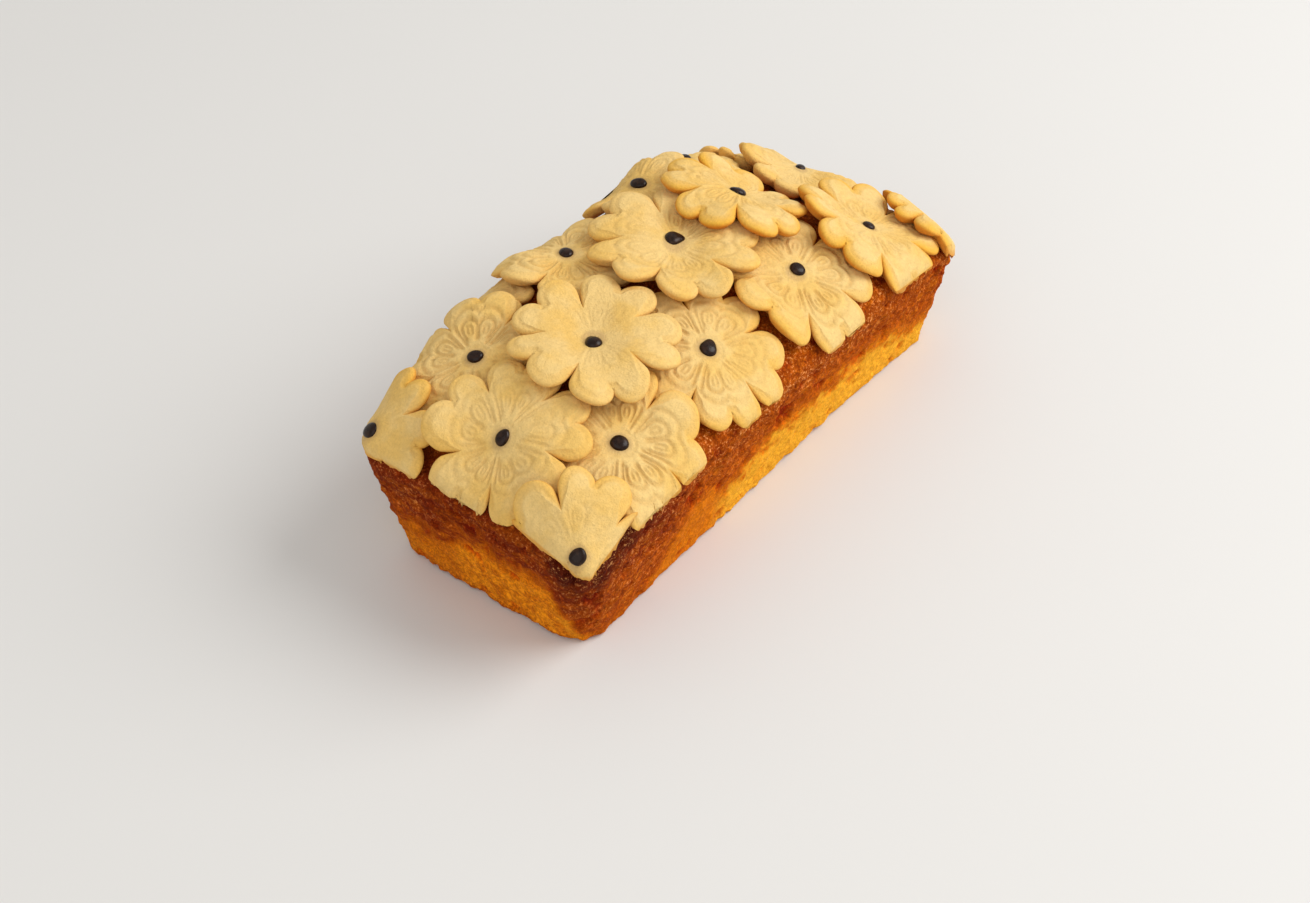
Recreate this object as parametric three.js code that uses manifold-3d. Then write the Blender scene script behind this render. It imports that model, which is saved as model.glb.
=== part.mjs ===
// A loaf cake baked in a tin, with flower cookies laid over its domed top and a
// drop of chocolate in the middle of each one. Millimetres, +Z up, +X along the
// loaf, and the origin on the table below the loaf's middle.
import * as THREE from "three";
import { mergeVertices } from "three/addons/utils/BufferGeometryUtils.js";
import Module from "manifold-3d";

// Loaf sides: the tin is narrower at the bottom than at the brim
const BASE_HALF_LENGTH = 93.4;
const BASE_HALF_WIDTH = 38.2;
const BASE_CORNER = 11.8;
const BRIM_HALF_LENGTH = 99.6;
const BRIM_HALF_WIDTH = 44.6;
const BRIM_CORNER = 11;
const BRIM_HEIGHT = 39.4;
const BOTTOM_ROUND = 2.4;
const SIDE_BOW = 1.8;

// Domed top, above the brim
const SHOULDER_HEIGHT = 5;
const SHOULDER_WIDTH = 4;
const DOME_HEIGHT = 13.4;
const DOME_PEAK_X = -2;
const DOME_PEAK_Y = 2;
const DOME_NEAR_REACH = 92;
const DOME_FAR_REACH = 85;
const DOME_POWER_X = 2.4;
const DOME_POWER_Y = 2.2;
const LEAN_HEIGHT = 14;
const LEAN_PEAK_X = 12;
const LEAN_NEAR_REACH = 102;
const LEAN_FAR_REACH = 66;
const CORNER_DROP = 3.5;
const FAR_DROP = 10;
const FAR_DROP_START = 60;
const OUTSIDE_SHELF = 3;
const OUTSIDE_FALL = 0.6;

// Loaf facets
const LOAF_SEGMENTS = 112;
const SIDE_RINGS = [0.05, 0.2, 0.4, 0.6, 0.8, 1];
const TOP_INSETS = [1, 2.6, 5.5, 10];
const TOP_SHARES = [0.35, 0.68, 0.93];
const SIDE_RELIEF = 0.7;
const TOP_RELIEF = 0.6;

// Flower cookies
const PETALS = 5;
const LOBE_RADIUS = 0.245;
const LOBE_CENTRE = 0.755;
const LOBE_ANGLE = THREE.MathUtils.degToRad(16.5);
const GAP_REACH = 0.6;
const COOKIE_THICKNESS = 4.3;
const RIM_WIDTH = 2.4;
const INNER_SHARE = 0.5;
const PETAL_ANGLES = [0, 8, 16, 25, 33];
const CLEARANCE = 0.5;
const GROWTH = 0.4;

// How the dough drapes over what lies below it
const GRID_STEP = 1;
const GRID_HALF_LENGTH = 118;
const GRID_HALF_WIDTH = 66;
const DOUGH_SPREAD = 1.5;
const DOUGH_ARC = 26;
const DOUGH_ARC_REACH = 24;
const DOUGH_SOFTNESS = 2;

// Room for the cookies above the brim: those in the corners were pressed against the
// tin, and the others hang a little way over its edge
const PRESSED_ROOM = { far: 97.3, near: 98.8, left: 45.5, right: 46.5 };
const LOOSE_ROOM = { far: 98, near: 98.8, left: 46.4, right: 46.6 };
const ROOM_CORNERS = { farLeft: 8, nearLeft: 10, nearRight: 6.5, farRight: 10 };

// Chocolate drops
const DROP_RADIUS = 2.6;
const DROP_HEIGHT = 1.8;
const DROP_GAP = 0.4;
const DROP_SEGMENTS = 8;

// The cookies in the order they are laid, so that a later one lies over an earlier
// one. The turn is in degrees, from +X to the middle of a petal, and the drop is the
// size of its chocolate, 0 where another cookie lies over its middle. Pressed ones
// are those in the corners and at the far end.
const COOKIES = [
  { x: -38.5, y: 45, turn: 60, radius: 17, drop: 0 },
  { x: -16.7, y: -26.9, turn: -49, radius: 25.5, drop: 1.05 },
  { x: -61.3, y: -28.9, turn: -35, radius: 26.4, drop: 1.05 },
  { x: -62.3, y: 25.3, turn: 108, radius: 24, drop: 1 },
  { x: 29.2, y: -26.2, turn: -22, radius: 26.8, drop: 1, dropX: 1.3, dropY: 0.4 },
  { x: -13.5, y: 30.5, turn: 80, radius: 24, drop: 1 },
  { x: -94, y: 40.4, turn: -15, radius: 22, drop: 1, pressed: true },
  { x: -81.8, y: -1.6, turn: 22, radius: 26, drop: 1.05, dropX: 0.5, dropY: -0.2 },
  { x: -96.6, y: -42, turn: 24, radius: 25, drop: 1, pressed: true },
  { x: -40.3, y: -2.6, turn: 17.5, radius: 26.5, drop: 1.3, dropX: -2, dropY: -1.6 },
  { x: 55.7, y: 38.6, turn: 60, radius: 20, drop: 0.9 },
  { x: 28.3, y: 35.5, turn: 60, radius: 21, drop: 1 },
  { x: 7.8, y: 4.4, turn: 21, radius: 27.5, drop: 1.25, dropX: 1.4, dropY: 1.9 },
  { x: 41.5, y: 5, turn: -32, radius: 24, drop: 1, dropX: -1.2, dropY: -1 },
  { x: 84.5, y: 39.3, turn: 0, radius: 16, drop: 0, pressed: true },
  { x: 95.5, y: -7.5, turn: 0, radius: 14, drop: 0, pressed: true },
  { x: 86.5, y: 13, turn: 42, radius: 23.5, drop: 0.9, dropX: 1.5, dropY: 1, pressed: true },
  { x: 69.1, y: -26.3, turn: -24, radius: 26, drop: 0.9 },
  { x: 99, y: -32.7, turn: 6, radius: 20, drop: 0, pressed: true },
];

const wasm = await Module();
wasm.setup();

const clamp = THREE.MathUtils.clamp;

// Distance to a rounded rectangle's edge, negative inside it
function edgeDistance(x, y, halfLength, halfWidth, corner) {
  const beyondX = Math.abs(x) - (halfLength - corner);
  const beyondY = Math.abs(y) - (halfWidth - corner);
  const outside = Math.hypot(Math.max(beyondX, 0), Math.max(beyondY, 0));
  return outside + Math.min(Math.max(beyondX, beyondY), 0) - corner;
}

// Height of the baked top
function crustHeight(x, y) {
  const distance = edgeDistance(x, y, BRIM_HALF_LENGTH, BRIM_HALF_WIDTH, BRIM_CORNER);
  const inward = clamp(-distance / SHOULDER_WIDTH, 0, 1);
  const shoulder = SHOULDER_HEIGHT * Math.sqrt(1 - (1 - inward) ** 2);

  const towardsLeft = clamp((y + BRIM_HALF_WIDTH) / (2 * BRIM_HALF_WIDTH), 0, 1);
  const leanReach = x > LEAN_PEAK_X ? LEAN_FAR_REACH : LEAN_NEAR_REACH;
  const alongLean = clamp(Math.abs(x - LEAN_PEAK_X) / leanReach, 0, 1);
  const lean = LEAN_HEIGHT * towardsLeft ** 1.5 * (1 - alongLean ** 3);

  const domeWidth = y > DOME_PEAK_Y ? BRIM_HALF_WIDTH - DOME_PEAK_Y : BRIM_HALF_WIDTH + DOME_PEAK_Y;
  const across = clamp(Math.abs(y - DOME_PEAK_Y) / domeWidth, 0, 1);
  const domeReach = x > DOME_PEAK_X ? DOME_FAR_REACH : DOME_NEAR_REACH;
  const along = clamp(Math.abs(x - DOME_PEAK_X) / domeReach, 0, 1);
  const dome = DOME_HEIGHT * (1 - along ** DOME_POWER_X) * (1 - across ** DOME_POWER_Y);

  const cornerX = clamp(Math.abs(x) / BRIM_HALF_LENGTH, 0, 1) ** 12;
  const cornerY = clamp(Math.abs(y) / BRIM_HALF_WIDTH, 0, 1) ** 4;
  const corner = CORNER_DROP * cornerX * cornerY;
  const beyond = clamp((x - FAR_DROP_START) / (BRIM_HALF_LENGTH - FAR_DROP_START), 0, 1);
  const farDrop = FAR_DROP * beyond ** 2;
  return BRIM_HEIGHT + shoulder + lean + dome - corner - farDrop;
}

// Height of what holds the cookies up: the baked top and, outside the brim, the air
// that a stiff cookie spans
function supportHeight(x, y) {
  const distance = edgeDistance(x, y, BRIM_HALF_LENGTH, BRIM_HALF_WIDTH, BRIM_CORNER);
  const span = distance > 0 ? OUTSIDE_SHELF - OUTSIDE_FALL * distance : 0;
  return crustHeight(x, y) + span;
}

// A surface held as heights on a square grid
class HeightField {
  constructor(heightAt) {
    this.columns = Math.round((2 * GRID_HALF_LENGTH) / GRID_STEP) + 1;
    this.rows = Math.round((2 * GRID_HALF_WIDTH) / GRID_STEP) + 1;
    this.values = new Float64Array(this.columns * this.rows);
    this.forEachCell((x, y, cell) => {
      this.values[cell] = heightAt(x, y, cell);
    });
  }

  forEachCell(visit) {
    for (let i = 0; i < this.columns; i += 1) {
      for (let j = 0; j < this.rows; j += 1) {
        const x = i * GRID_STEP - GRID_HALF_LENGTH;
        const y = j * GRID_STEP - GRID_HALF_WIDTH;
        visit(x, y, i * this.rows + j);
      }
    }
  }

  at(i, j) {
    const column = clamp(i, 0, this.columns - 1);
    const row = clamp(j, 0, this.rows - 1);
    return this.values[column * this.rows + row];
  }

  height(x, y) {
    const u = clamp((x + GRID_HALF_LENGTH) / GRID_STEP, 0, this.columns - 1.001);
    const v = clamp((y + GRID_HALF_WIDTH) / GRID_STEP, 0, this.rows - 1.001);
    const i = Math.floor(u);
    const j = Math.floor(v);
    const near = this.at(i, j) * (1 - (v - j)) + this.at(i, j + 1) * (v - j);
    const far = this.at(i + 1, j) * (1 - (v - j)) + this.at(i + 1, j + 1) * (v - j);
    return near * (1 - (u - i)) + far * (u - i);
  }

  slope(x, y) {
    const reach = GRID_STEP;
    return new THREE.Vector2(
      (this.height(x + reach, y) - this.height(x - reach, y)) / (2 * reach),
      (this.height(x, y + reach) - this.height(x, y - reach)) / (2 * reach),
    );
  }

  // Each cell takes the highest value within a radius
  spread(radius) {
    const cells = Math.floor(radius / GRID_STEP);
    const limit = (radius / GRID_STEP) ** 2 + 0.5;
    return this.filtered((i, j) => {
      let highest = -Infinity;
      for (let di = -cells; di <= cells; di += 1) {
        for (let dj = -cells; dj <= cells; dj += 1) {
          if (di * di + dj * dj <= limit) highest = Math.max(highest, this.at(i + di, j + dj));
        }
      }
      return highest;
    });
  }

  // Gaussian smoothing, along X and then along Y
  smooth(width) {
    const reach = Math.ceil((3 * width) / GRID_STEP);
    const weights = [];
    for (let k = -reach; k <= reach; k += 1) {
      weights.push(Math.exp(-0.5 * ((k * GRID_STEP) / width) ** 2));
    }
    const total = weights.reduce((sum, weight) => sum + weight, 0);
    const alongX = this.filtered((i, j) =>
      weights.reduce((sum, weight, k) => sum + weight * this.at(i + k - reach, j), 0) / total);
    return alongX.filtered((i, j) =>
      weights.reduce((sum, weight, k) => sum + weight * alongX.at(i, j + k - reach), 0) / total);
  }

  // Hollows bridged by arcs: raised to arcs that stand on the surface, then lowered
  // to arcs that hang from those
  bridged(radius) {
    const reach = DOUGH_ARC_REACH;
    const drops = [];
    for (let k = -reach; k <= reach; k += 1) drops.push((k * GRID_STEP) ** 2 / (2 * radius));
    let field = this;
    for (const sign of [1, -1]) {
      for (const [stepX, stepY] of [[1, 0], [0, 1]]) {
        const before = field;
        field = before.filtered((i, j) => {
          let best = -Infinity;
          for (let k = -reach; k <= reach; k += 1) {
            best = Math.max(best, sign * before.at(i + k * stepX, j + k * stepY) - drops[k + reach]);
          }
          return sign * best;
        });
      }
    }
    return field;
  }

  filtered(valueAt) {
    return new HeightField((x, y, cell) =>
      valueAt(Math.floor(cell / this.rows), cell % this.rows));
  }
}

// Outline of a flower as a radius at an angle from a petal's middle. Each petal is
// a heart with two round lobes, and a narrow gap runs in between two petals.
function flowerRadius(angle, radius, inset) {
  const half = Math.PI / PETALS;
  const turned = THREE.MathUtils.euclideanModulo(angle + half, 2 * half) - half;
  const fromAxis = Math.abs(turned);
  const lobe = Math.max(LOBE_RADIUS * radius - inset, 0.15);
  const centre = LOBE_CENTRE * radius;
  const spread = Math.asin(Math.min(lobe / centre, 1));
  const tangent = Math.sqrt(centre ** 2 - lobe ** 2);
  const notch = Math.sqrt(LOBE_RADIUS ** 2 - (LOBE_CENTRE * Math.sin(LOBE_ANGLE)) ** 2);
  if (fromAxis > LOBE_ANGLE + spread) {
    const gap = Math.max(GAP_REACH * radius - 0.9 * inset, 0.02 * radius);
    const share = (half - fromAxis) / (half - LOBE_ANGLE - spread);
    return gap + (tangent - gap) * share;
  }
  if (fromAxis < LOBE_ANGLE - spread) {
    const dip = (LOBE_CENTRE * Math.cos(LOBE_ANGLE) + notch) * radius - 1.15 * inset;
    return dip + (tangent - dip) * (fromAxis / (LOBE_ANGLE - spread));
  }
  const off = fromAxis - LOBE_ANGLE;
  return centre * Math.cos(off) + Math.sqrt(Math.max(lobe ** 2 - (centre * Math.sin(off)) ** 2, 0));
}

// A cookie draped over a surface: it bends to follow it and keeps its size along it.
// Its x and y are below its underside's middle, and a shape's are its top's middle.
class DrapedCookie {
  constructor(shape, ground) {
    this.radius = shape.radius;
    this.turn = THREE.MathUtils.degToRad(shape.turn);
    this.bed = ground.bridged(DOUGH_ARC).spread(DOUGH_SPREAD).smooth(DOUGH_SOFTNESS);
    this.x = shape.x;
    this.y = shape.y;
    for (let pass = 0; pass < 3; pass += 1) {
      const middle = this.lifted(this.x, this.y, COOKIE_THICKNESS);
      this.x += shape.x - middle.x;
      this.y += shape.y - middle.y;
    }
  }

  // Distance over the table from the centre that a length along the dough covers
  flatDistance(length, angle) {
    const steps = Math.max(Math.ceil(length / 0.5), 1);
    const stride = length / steps;
    let covered = 0;
    for (let k = 0; k < steps; k += 1) {
      const x = this.x + covered * Math.cos(angle);
      const y = this.y + covered * Math.sin(angle);
      const slope = this.bed.slope(x, y);
      const climb = slope.x * Math.cos(angle) + slope.y * Math.sin(angle);
      covered += stride / Math.hypot(1, climb);
    }
    return covered;
  }

  // A point a length along the dough from the centre, lifted off the bed
  point(length, angle, lift) {
    const reach = this.flatDistance(length, angle);
    const x = this.x + reach * Math.cos(angle);
    const y = this.y + reach * Math.sin(angle);
    return this.lifted(x, y, lift);
  }

  lifted(x, y, lift) {
    const slope = this.bed.slope(x, y);
    const normal = new THREE.Vector3(-slope.x, -slope.y, 1).normalize();
    return new THREE.Vector3(x, y, this.bed.height(x, y)).addScaledVector(normal, CLEARANCE + lift);
  }

  // A point on the top near its middle, where facets run straight to the inner ring
  nearMiddle(alongX, alongY) {
    const angle = Math.atan2(alongY, alongX);
    const half = INNER_SHARE * flowerRadius(angle - this.turn, this.radius, 0);
    const middle = this.point(0, angle, COOKIE_THICKNESS);
    const ring = this.point(half, angle, COOKIE_THICKNESS);
    return middle.lerp(ring, Math.hypot(alongX, alongY) / half);
  }

  // The ground with this cookie's top surface added to it
  cover(ground) {
    const angles = 180;
    const reaches = [];
    for (let k = 0; k < angles; k += 1) {
      const angle = (k * 2 * Math.PI) / angles;
      const length = flowerRadius(angle - this.turn, this.radius, 0);
      reaches.push(this.flatDistance(length, angle));
    }
    return new HeightField((x, y, cell) => {
      const distance = Math.hypot(x - this.x, y - this.y);
      if (distance > 1.1 * this.radius) return ground.values[cell];
      const angle = THREE.MathUtils.euclideanModulo(Math.atan2(y - this.y, x - this.x), 2 * Math.PI);
      const rank = (angle * angles) / (2 * Math.PI);
      const low = Math.floor(rank) % angles;
      const reach = THREE.MathUtils.lerp(reaches[low], reaches[(low + 1) % angles], rank - Math.floor(rank));
      if (distance > reach) return ground.values[cell];
      const slope = this.bed.slope(x, y);
      const rounding = Math.sqrt(1 - clamp(1 - (reach - distance) / RIM_WIDTH, 0, 1) ** 2.2);
      const thickness = COOKIE_THICKNESS * (0.3 + 0.7 * rounding);
      const top = this.bed.values[cell] + CLEARANCE + thickness * Math.hypot(1, slope.x, slope.y);
      return Math.max(ground.values[cell], top);
    });
  }

  // The cookie as a lathe's rings of points, each ring moved to its flower outline.
  // A ring is an inset from the outline, or a share of it, with a height.
  solid(growth) {
    const rings = [
      { share: 0, height: 0 },
      { inset: 1, height: 0 },
      { inset: 0, height: 0.32 },
      { inset: 1.1, height: 0.9 },
      { share: INNER_SHARE, height: 1 },
      { share: 0, height: 1 },
    ];
    const perPetal = [...PETAL_ANGLES, 36, ...PETAL_ANGLES.slice(1).reverse().map((angle) => 72 - angle)];
    const profile = rings.map((ring, k) => new THREE.Vector2(ring.share === 0 ? 0 : 1, k));
    const lathe = new THREE.LatheGeometry(profile, PETALS * perPetal.length);
    const positions = lathe.getAttribute("position");
    for (let index = 0; index < positions.count; index += 1) {
      const ring = rings[index % rings.length];
      const step = Math.floor(index / rings.length) % (PETALS * perPetal.length);
      const petal = Math.floor(step / perPetal.length);
      const degrees = 72 * petal + perPetal[step % perPetal.length];
      const angle = THREE.MathUtils.degToRad(degrees);
      const inset = (ring.inset ?? 0) - growth;
      const outline = flowerRadius(angle, this.radius, inset);
      const length = (ring.share ?? 1) * outline;
      const rise = ring.height * COOKIE_THICKNESS + (ring.height > 0 ? growth : -growth);
      const point = this.point(length, angle + this.turn, rise);
      positions.setXYZ(index, point.x, point.y, point.z);
    }
    return toSolid(lathe);
  }

  // The chocolate drop near the middle of the cookie, its foot bent to fit the cookie
  drop(scale, offsetX, offsetY) {
    const radius = DROP_RADIUS * scale;
    const height = DROP_HEIGHT * scale;
    const profile = [
      new THREE.Vector2(0, 0),
      new THREE.Vector2(0.86 * radius, 0),
      new THREE.Vector2(radius, 0.35 * height),
      new THREE.Vector2(0.7 * radius, 0.8 * height),
      new THREE.Vector2(0, height),
    ];
    const slope = this.bed.slope(this.x + offsetX, this.y + offsetY);
    const normal = new THREE.Vector3(-slope.x, -slope.y, 1).normalize();
    const lathe = new THREE.LatheGeometry(profile, DROP_SEGMENTS);
    const positions = lathe.getAttribute("position");
    for (let index = 0; index < positions.count; index += 1) {
      const point = this.nearMiddle(offsetX + positions.getX(index), offsetY + positions.getZ(index));
      point.addScaledVector(normal, DROP_GAP + positions.getY(index));
      positions.setXYZ(index, point.x, point.y, point.z);
    }
    return toSolid(lathe);
  }
}

// A closed geometry as a solid, whichever way its faces turn
function toSolid(geometry) {
  const bare = geometry.index ? geometry.toNonIndexed() : geometry.clone();
  bare.deleteAttribute("normal");
  bare.deleteAttribute("uv");
  const merged = mergeVertices(bare, 1e-3);
  const corners = [];
  for (let index = 0; index < merged.index.count; index += 3) {
    const [a, b, c] = [0, 1, 2].map((k) => merged.index.getX(index + k));
    if (a !== b && b !== c && c !== a) corners.push(a, b, c);
  }
  const build = (triVerts) =>
    new wasm.Manifold(new wasm.Mesh({
      numProp: 3,
      vertProperties: merged.getAttribute("position").array,
      triVerts: new Uint32Array(triVerts),
    }));
  const made = build(corners);
  return made.volume() > 0 ? made : build(corners.reverse());
}

// The largest body of a solid as a mesh's geometry
function toGeometry(solid) {
  const bodies = solid.decompose();
  bodies.sort((a, b) => b.volume() - a.volume());
  const mesh = bodies[0].getMesh();
  const geometry = new THREE.BufferGeometry();
  geometry.setAttribute("position", new THREE.BufferAttribute(mesh.vertProperties, 3));
  geometry.setIndex(new THREE.BufferAttribute(mesh.triVerts, 1));
  return geometry;
}

// Points round a rounded rectangle, evenly spaced, from the middle of one end
function brimPoints(halfLength, halfWidth, corner) {
  const outline = new THREE.Path();
  const straightX = halfLength - corner;
  const straightY = halfWidth - corner;
  outline.moveTo(halfLength, 0);
  outline.lineTo(halfLength, straightY);
  outline.absarc(straightX, straightY, corner, 0, Math.PI / 2);
  outline.lineTo(-straightX, halfWidth);
  outline.absarc(-straightX, straightY, corner, Math.PI / 2, Math.PI);
  outline.lineTo(-halfLength, -straightY);
  outline.absarc(-straightX, -straightY, corner, Math.PI, 1.5 * Math.PI);
  outline.lineTo(straightX, -halfWidth);
  outline.absarc(straightX, -straightY, corner, 1.5 * Math.PI, 2 * Math.PI);
  outline.lineTo(halfLength, 0);
  return outline.getSpacedPoints(LOAF_SEGMENTS).slice(0, LOAF_SEGMENTS);
}

// Unevenness of the baked crumb, between -1 and 1
function crags(x, y, z) {
  const broad = Math.sin(0.21 * x + 0.13 * z) * Math.sin(0.17 * y - 0.11 * z + 1.3);
  const fine = Math.sin(0.53 * x - 0.31 * z + 0.7) * Math.sin(0.47 * y + 0.43 * z + 0.4);
  const small = Math.sin(0.95 * x + 0.5 * y + 1.9) * Math.sin(0.8 * z + 0.7 * y);
  return 0.4 * broad + 0.35 * fine + 0.25 * small;
}

// The loaf as rings from the middle of its base, up its sides and over its top
function loafSolid() {
  const base = brimPoints(BASE_HALF_LENGTH, BASE_HALF_WIDTH, BASE_CORNER);
  const brim = brimPoints(BRIM_HALF_LENGTH, BRIM_HALF_WIDTH, BRIM_CORNER);
  const rings = [
    () => new THREE.Vector3(0, 0, 0),
    (step) => floorPoint(base[step]),
    ...SIDE_RINGS.map((share) => (step) => sidePoint(base[step], brim[step], share)),
    ...TOP_INSETS.map((inset) => (step) => topPoint(brim[step], inset, 0)),
    ...TOP_SHARES.map((share) => (step) => topPoint(brim[step], TOP_INSETS.at(-1), share)),
    () => topPoint(new THREE.Vector2(0, 0), 0, 0),
  ];
  const profile = rings.map((ring, k) => new THREE.Vector2(k === 0 || k === rings.length - 1 ? 0 : 1, k));
  const lathe = new THREE.LatheGeometry(profile, LOAF_SEGMENTS);
  const positions = lathe.getAttribute("position");
  for (let index = 0; index < positions.count; index += 1) {
    const step = Math.floor(index / rings.length) % LOAF_SEGMENTS;
    const point = rings[index % rings.length](step);
    positions.setXYZ(index, point.x, point.y, point.z);
  }
  return toSolid(lathe);
}

// The base outline with its long sides bowed in
function bowed(base) {
  const bow = SIDE_BOW * (1 - (base.x / BASE_HALF_LENGTH) ** 2);
  const side = clamp(base.y / 20, -1, 1);
  return new THREE.Vector2(base.x, base.y - bow * side);
}

function floorPoint(base) {
  const low = bowed(base);
  const share = 1 - BOTTOM_ROUND / low.length();
  return new THREE.Vector3(low.x * share, low.y * share, 0);
}

function sidePoint(base, brim, share) {
  const place = bowed(base).lerp(brim, share);
  const z = share * crustHeight(brim.x, brim.y);
  const away = 1 + (SIDE_RELIEF * crags(place.x, place.y, z)) / place.length();
  return new THREE.Vector3(place.x * away, place.y * away, z);
}

// A point of the top, inset from the brim and then a share of the way to the ridge
function topPoint(brim, inset, share) {
  const anchor = new THREE.Vector2(
    clamp(brim.x, BRIM_CORNER - BRIM_HALF_LENGTH, BRIM_HALF_LENGTH - BRIM_CORNER),
    clamp(brim.y, BRIM_CORNER - BRIM_HALF_WIDTH, BRIM_HALF_WIDTH - BRIM_CORNER),
  );
  const place = anchor.lerp(brim, 1 - inset / BRIM_CORNER);
  const x = place.x * (1 - 0.5 * share);
  const y = place.y * (1 - share);
  const sunk = TOP_RELIEF * (1 + crags(x, y, 30));
  return new THREE.Vector3(x, y, crustHeight(x, y) - sunk);
}

// The upright walls that end the cookies. The dough filled the corner at the near
// right more than the others.
function roomSolid(room) {
  const corners = [
    [room.far, room.left, ROOM_CORNERS.farLeft],
    [-room.near, room.left, ROOM_CORNERS.nearLeft],
    [-room.near, -room.right, ROOM_CORNERS.nearRight],
    [room.far, -room.right, ROOM_CORNERS.farRight],
  ];
  const outline = new THREE.Shape();
  corners.forEach(([cornerX, cornerY, round], quarter) => {
    const x = cornerX - Math.sign(cornerX) * round;
    const y = cornerY - Math.sign(cornerY) * round;
    outline.absarc(x, y, round, (quarter * Math.PI) / 2, ((quarter + 1) * Math.PI) / 2);
  });
  const walls = new THREE.ExtrudeGeometry(outline, { depth: 100, bevelEnabled: false, curveSegments: 4 });
  return toSolid(walls);
}

const SPONGE = new THREE.MeshStandardMaterial({ color: 0xb96a20, roughness: 0.85, metalness: 0 });
const SHORTBREAD = new THREE.MeshStandardMaterial({ color: 0xe6c46e, roughness: 0.7, metalness: 0 });
const CHOCOLATE = new THREE.MeshStandardMaterial({ color: 0x24130f, roughness: 0.25, metalness: 0 });

function addMesh(group, name, geometry, material) {
  const mesh = new THREE.Mesh(geometry, material);
  mesh.name = name;
  group.add(mesh);
}

// Lays the cookies one after another, each on what is below it
function buildCake() {
  const cake = new THREE.Group();
  const loaf = loafSolid();
  addMesh(cake, "loaf", toGeometry(loaf), SPONGE);
  const pressed = roomSolid(PRESSED_ROOM);
  const loose = roomSolid(LOOSE_ROOM);
  let ground = new HeightField(supportHeight);
  let below = loaf;
  COOKIES.forEach((shape, index) => {
    const label = String(index + 1).padStart(2, "0");
    const cookie = new DrapedCookie(shape, ground);
    const room = shape.pressed ? pressed : loose;
    const solid = cookie.solid(0).intersect(room).subtract(below);
    addMesh(cake, "cookie_" + label, toGeometry(solid), SHORTBREAD);
    if (shape.drop > 0) {
      const drop = cookie.drop(shape.drop, shape.dropX ?? 0, shape.dropY ?? 0);
      addMesh(cake, "chocolate_" + label, toGeometry(drop), CHOCOLATE);
    }
    below = below.add(cookie.solid(GROWTH)).add(solid);
    ground = cookie.cover(ground);
  });
  return cake;
}

const group = buildCake();
export default group;
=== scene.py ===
"""A loaf cake with flower cookies draped over its domed top.

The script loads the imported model, builds the loaf, the cookies and their drops of
chocolate over its solids, gives each a finish, and sets a floor, light and camera.
Sizes are in millimetres until a mesh is written, which is in metres.
"""
import logging
import math
from dataclasses import dataclass, field
from enum import Enum
from typing import Iterator

import bmesh
import bpy
import numpy as np
from mathutils import Matrix, Vector

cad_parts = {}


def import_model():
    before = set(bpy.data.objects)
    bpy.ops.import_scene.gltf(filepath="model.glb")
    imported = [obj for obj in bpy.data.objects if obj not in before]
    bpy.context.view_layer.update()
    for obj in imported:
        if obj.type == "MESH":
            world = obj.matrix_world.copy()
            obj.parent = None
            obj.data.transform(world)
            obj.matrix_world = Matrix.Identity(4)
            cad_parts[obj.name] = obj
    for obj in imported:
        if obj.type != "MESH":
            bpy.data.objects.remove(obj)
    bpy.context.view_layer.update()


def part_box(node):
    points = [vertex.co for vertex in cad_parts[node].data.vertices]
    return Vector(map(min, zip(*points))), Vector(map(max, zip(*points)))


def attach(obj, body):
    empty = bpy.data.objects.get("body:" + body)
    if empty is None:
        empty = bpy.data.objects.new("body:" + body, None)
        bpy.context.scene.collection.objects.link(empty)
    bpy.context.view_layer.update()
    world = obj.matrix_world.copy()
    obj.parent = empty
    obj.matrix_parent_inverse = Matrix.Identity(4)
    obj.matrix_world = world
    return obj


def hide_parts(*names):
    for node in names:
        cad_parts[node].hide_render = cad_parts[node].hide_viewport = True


MILLIMETRE = 0.001  # in metres
METRE = 1000.0  # in millimetres
QUARTER = math.pi / 2
PETALS = 5
HALF_PETAL = math.pi / PETALS
SHORT_OF_LAST = 1.001  # keeps a rank just below the last one, so that it has a next
LOG = logging.getLogger("flower_cake")


class Stamp(Enum):
    """How deep the pressed pattern of a cookie has stayed in the bake."""

    DEEP = 1.0
    FADED = 0.62
    SMOOTH = 0.22


class Bake(Enum):
    """How far a cookie has browned, as a share of the deepest tone."""

    PALE = 0.1
    GOLDEN = 0.55
    AMBER = 1.0


@dataclass(frozen=True)
class Placement:
    """Where a cookie lies and how it looks.

    The turn is in degrees from +X to the middle of a petal. The drop is the size of
    its chocolate, 0 where another cookie lies over its middle, and the tail is how
    far its tip is drawn out, towards tail_turn in degrees. Pressed cookies are those
    in the corners and at the far end, which the tin trimmed.
    """

    label: str
    x: float
    y: float
    turn: float
    radius: float
    drop: float = 0.0
    drop_x: float = 0.0
    drop_y: float = 0.0
    stamp: Stamp = Stamp.FADED
    bake: Bake = Bake.PALE
    tail: float = 0.0
    tail_turn: float = 0.0
    pressed: bool = False


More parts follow.
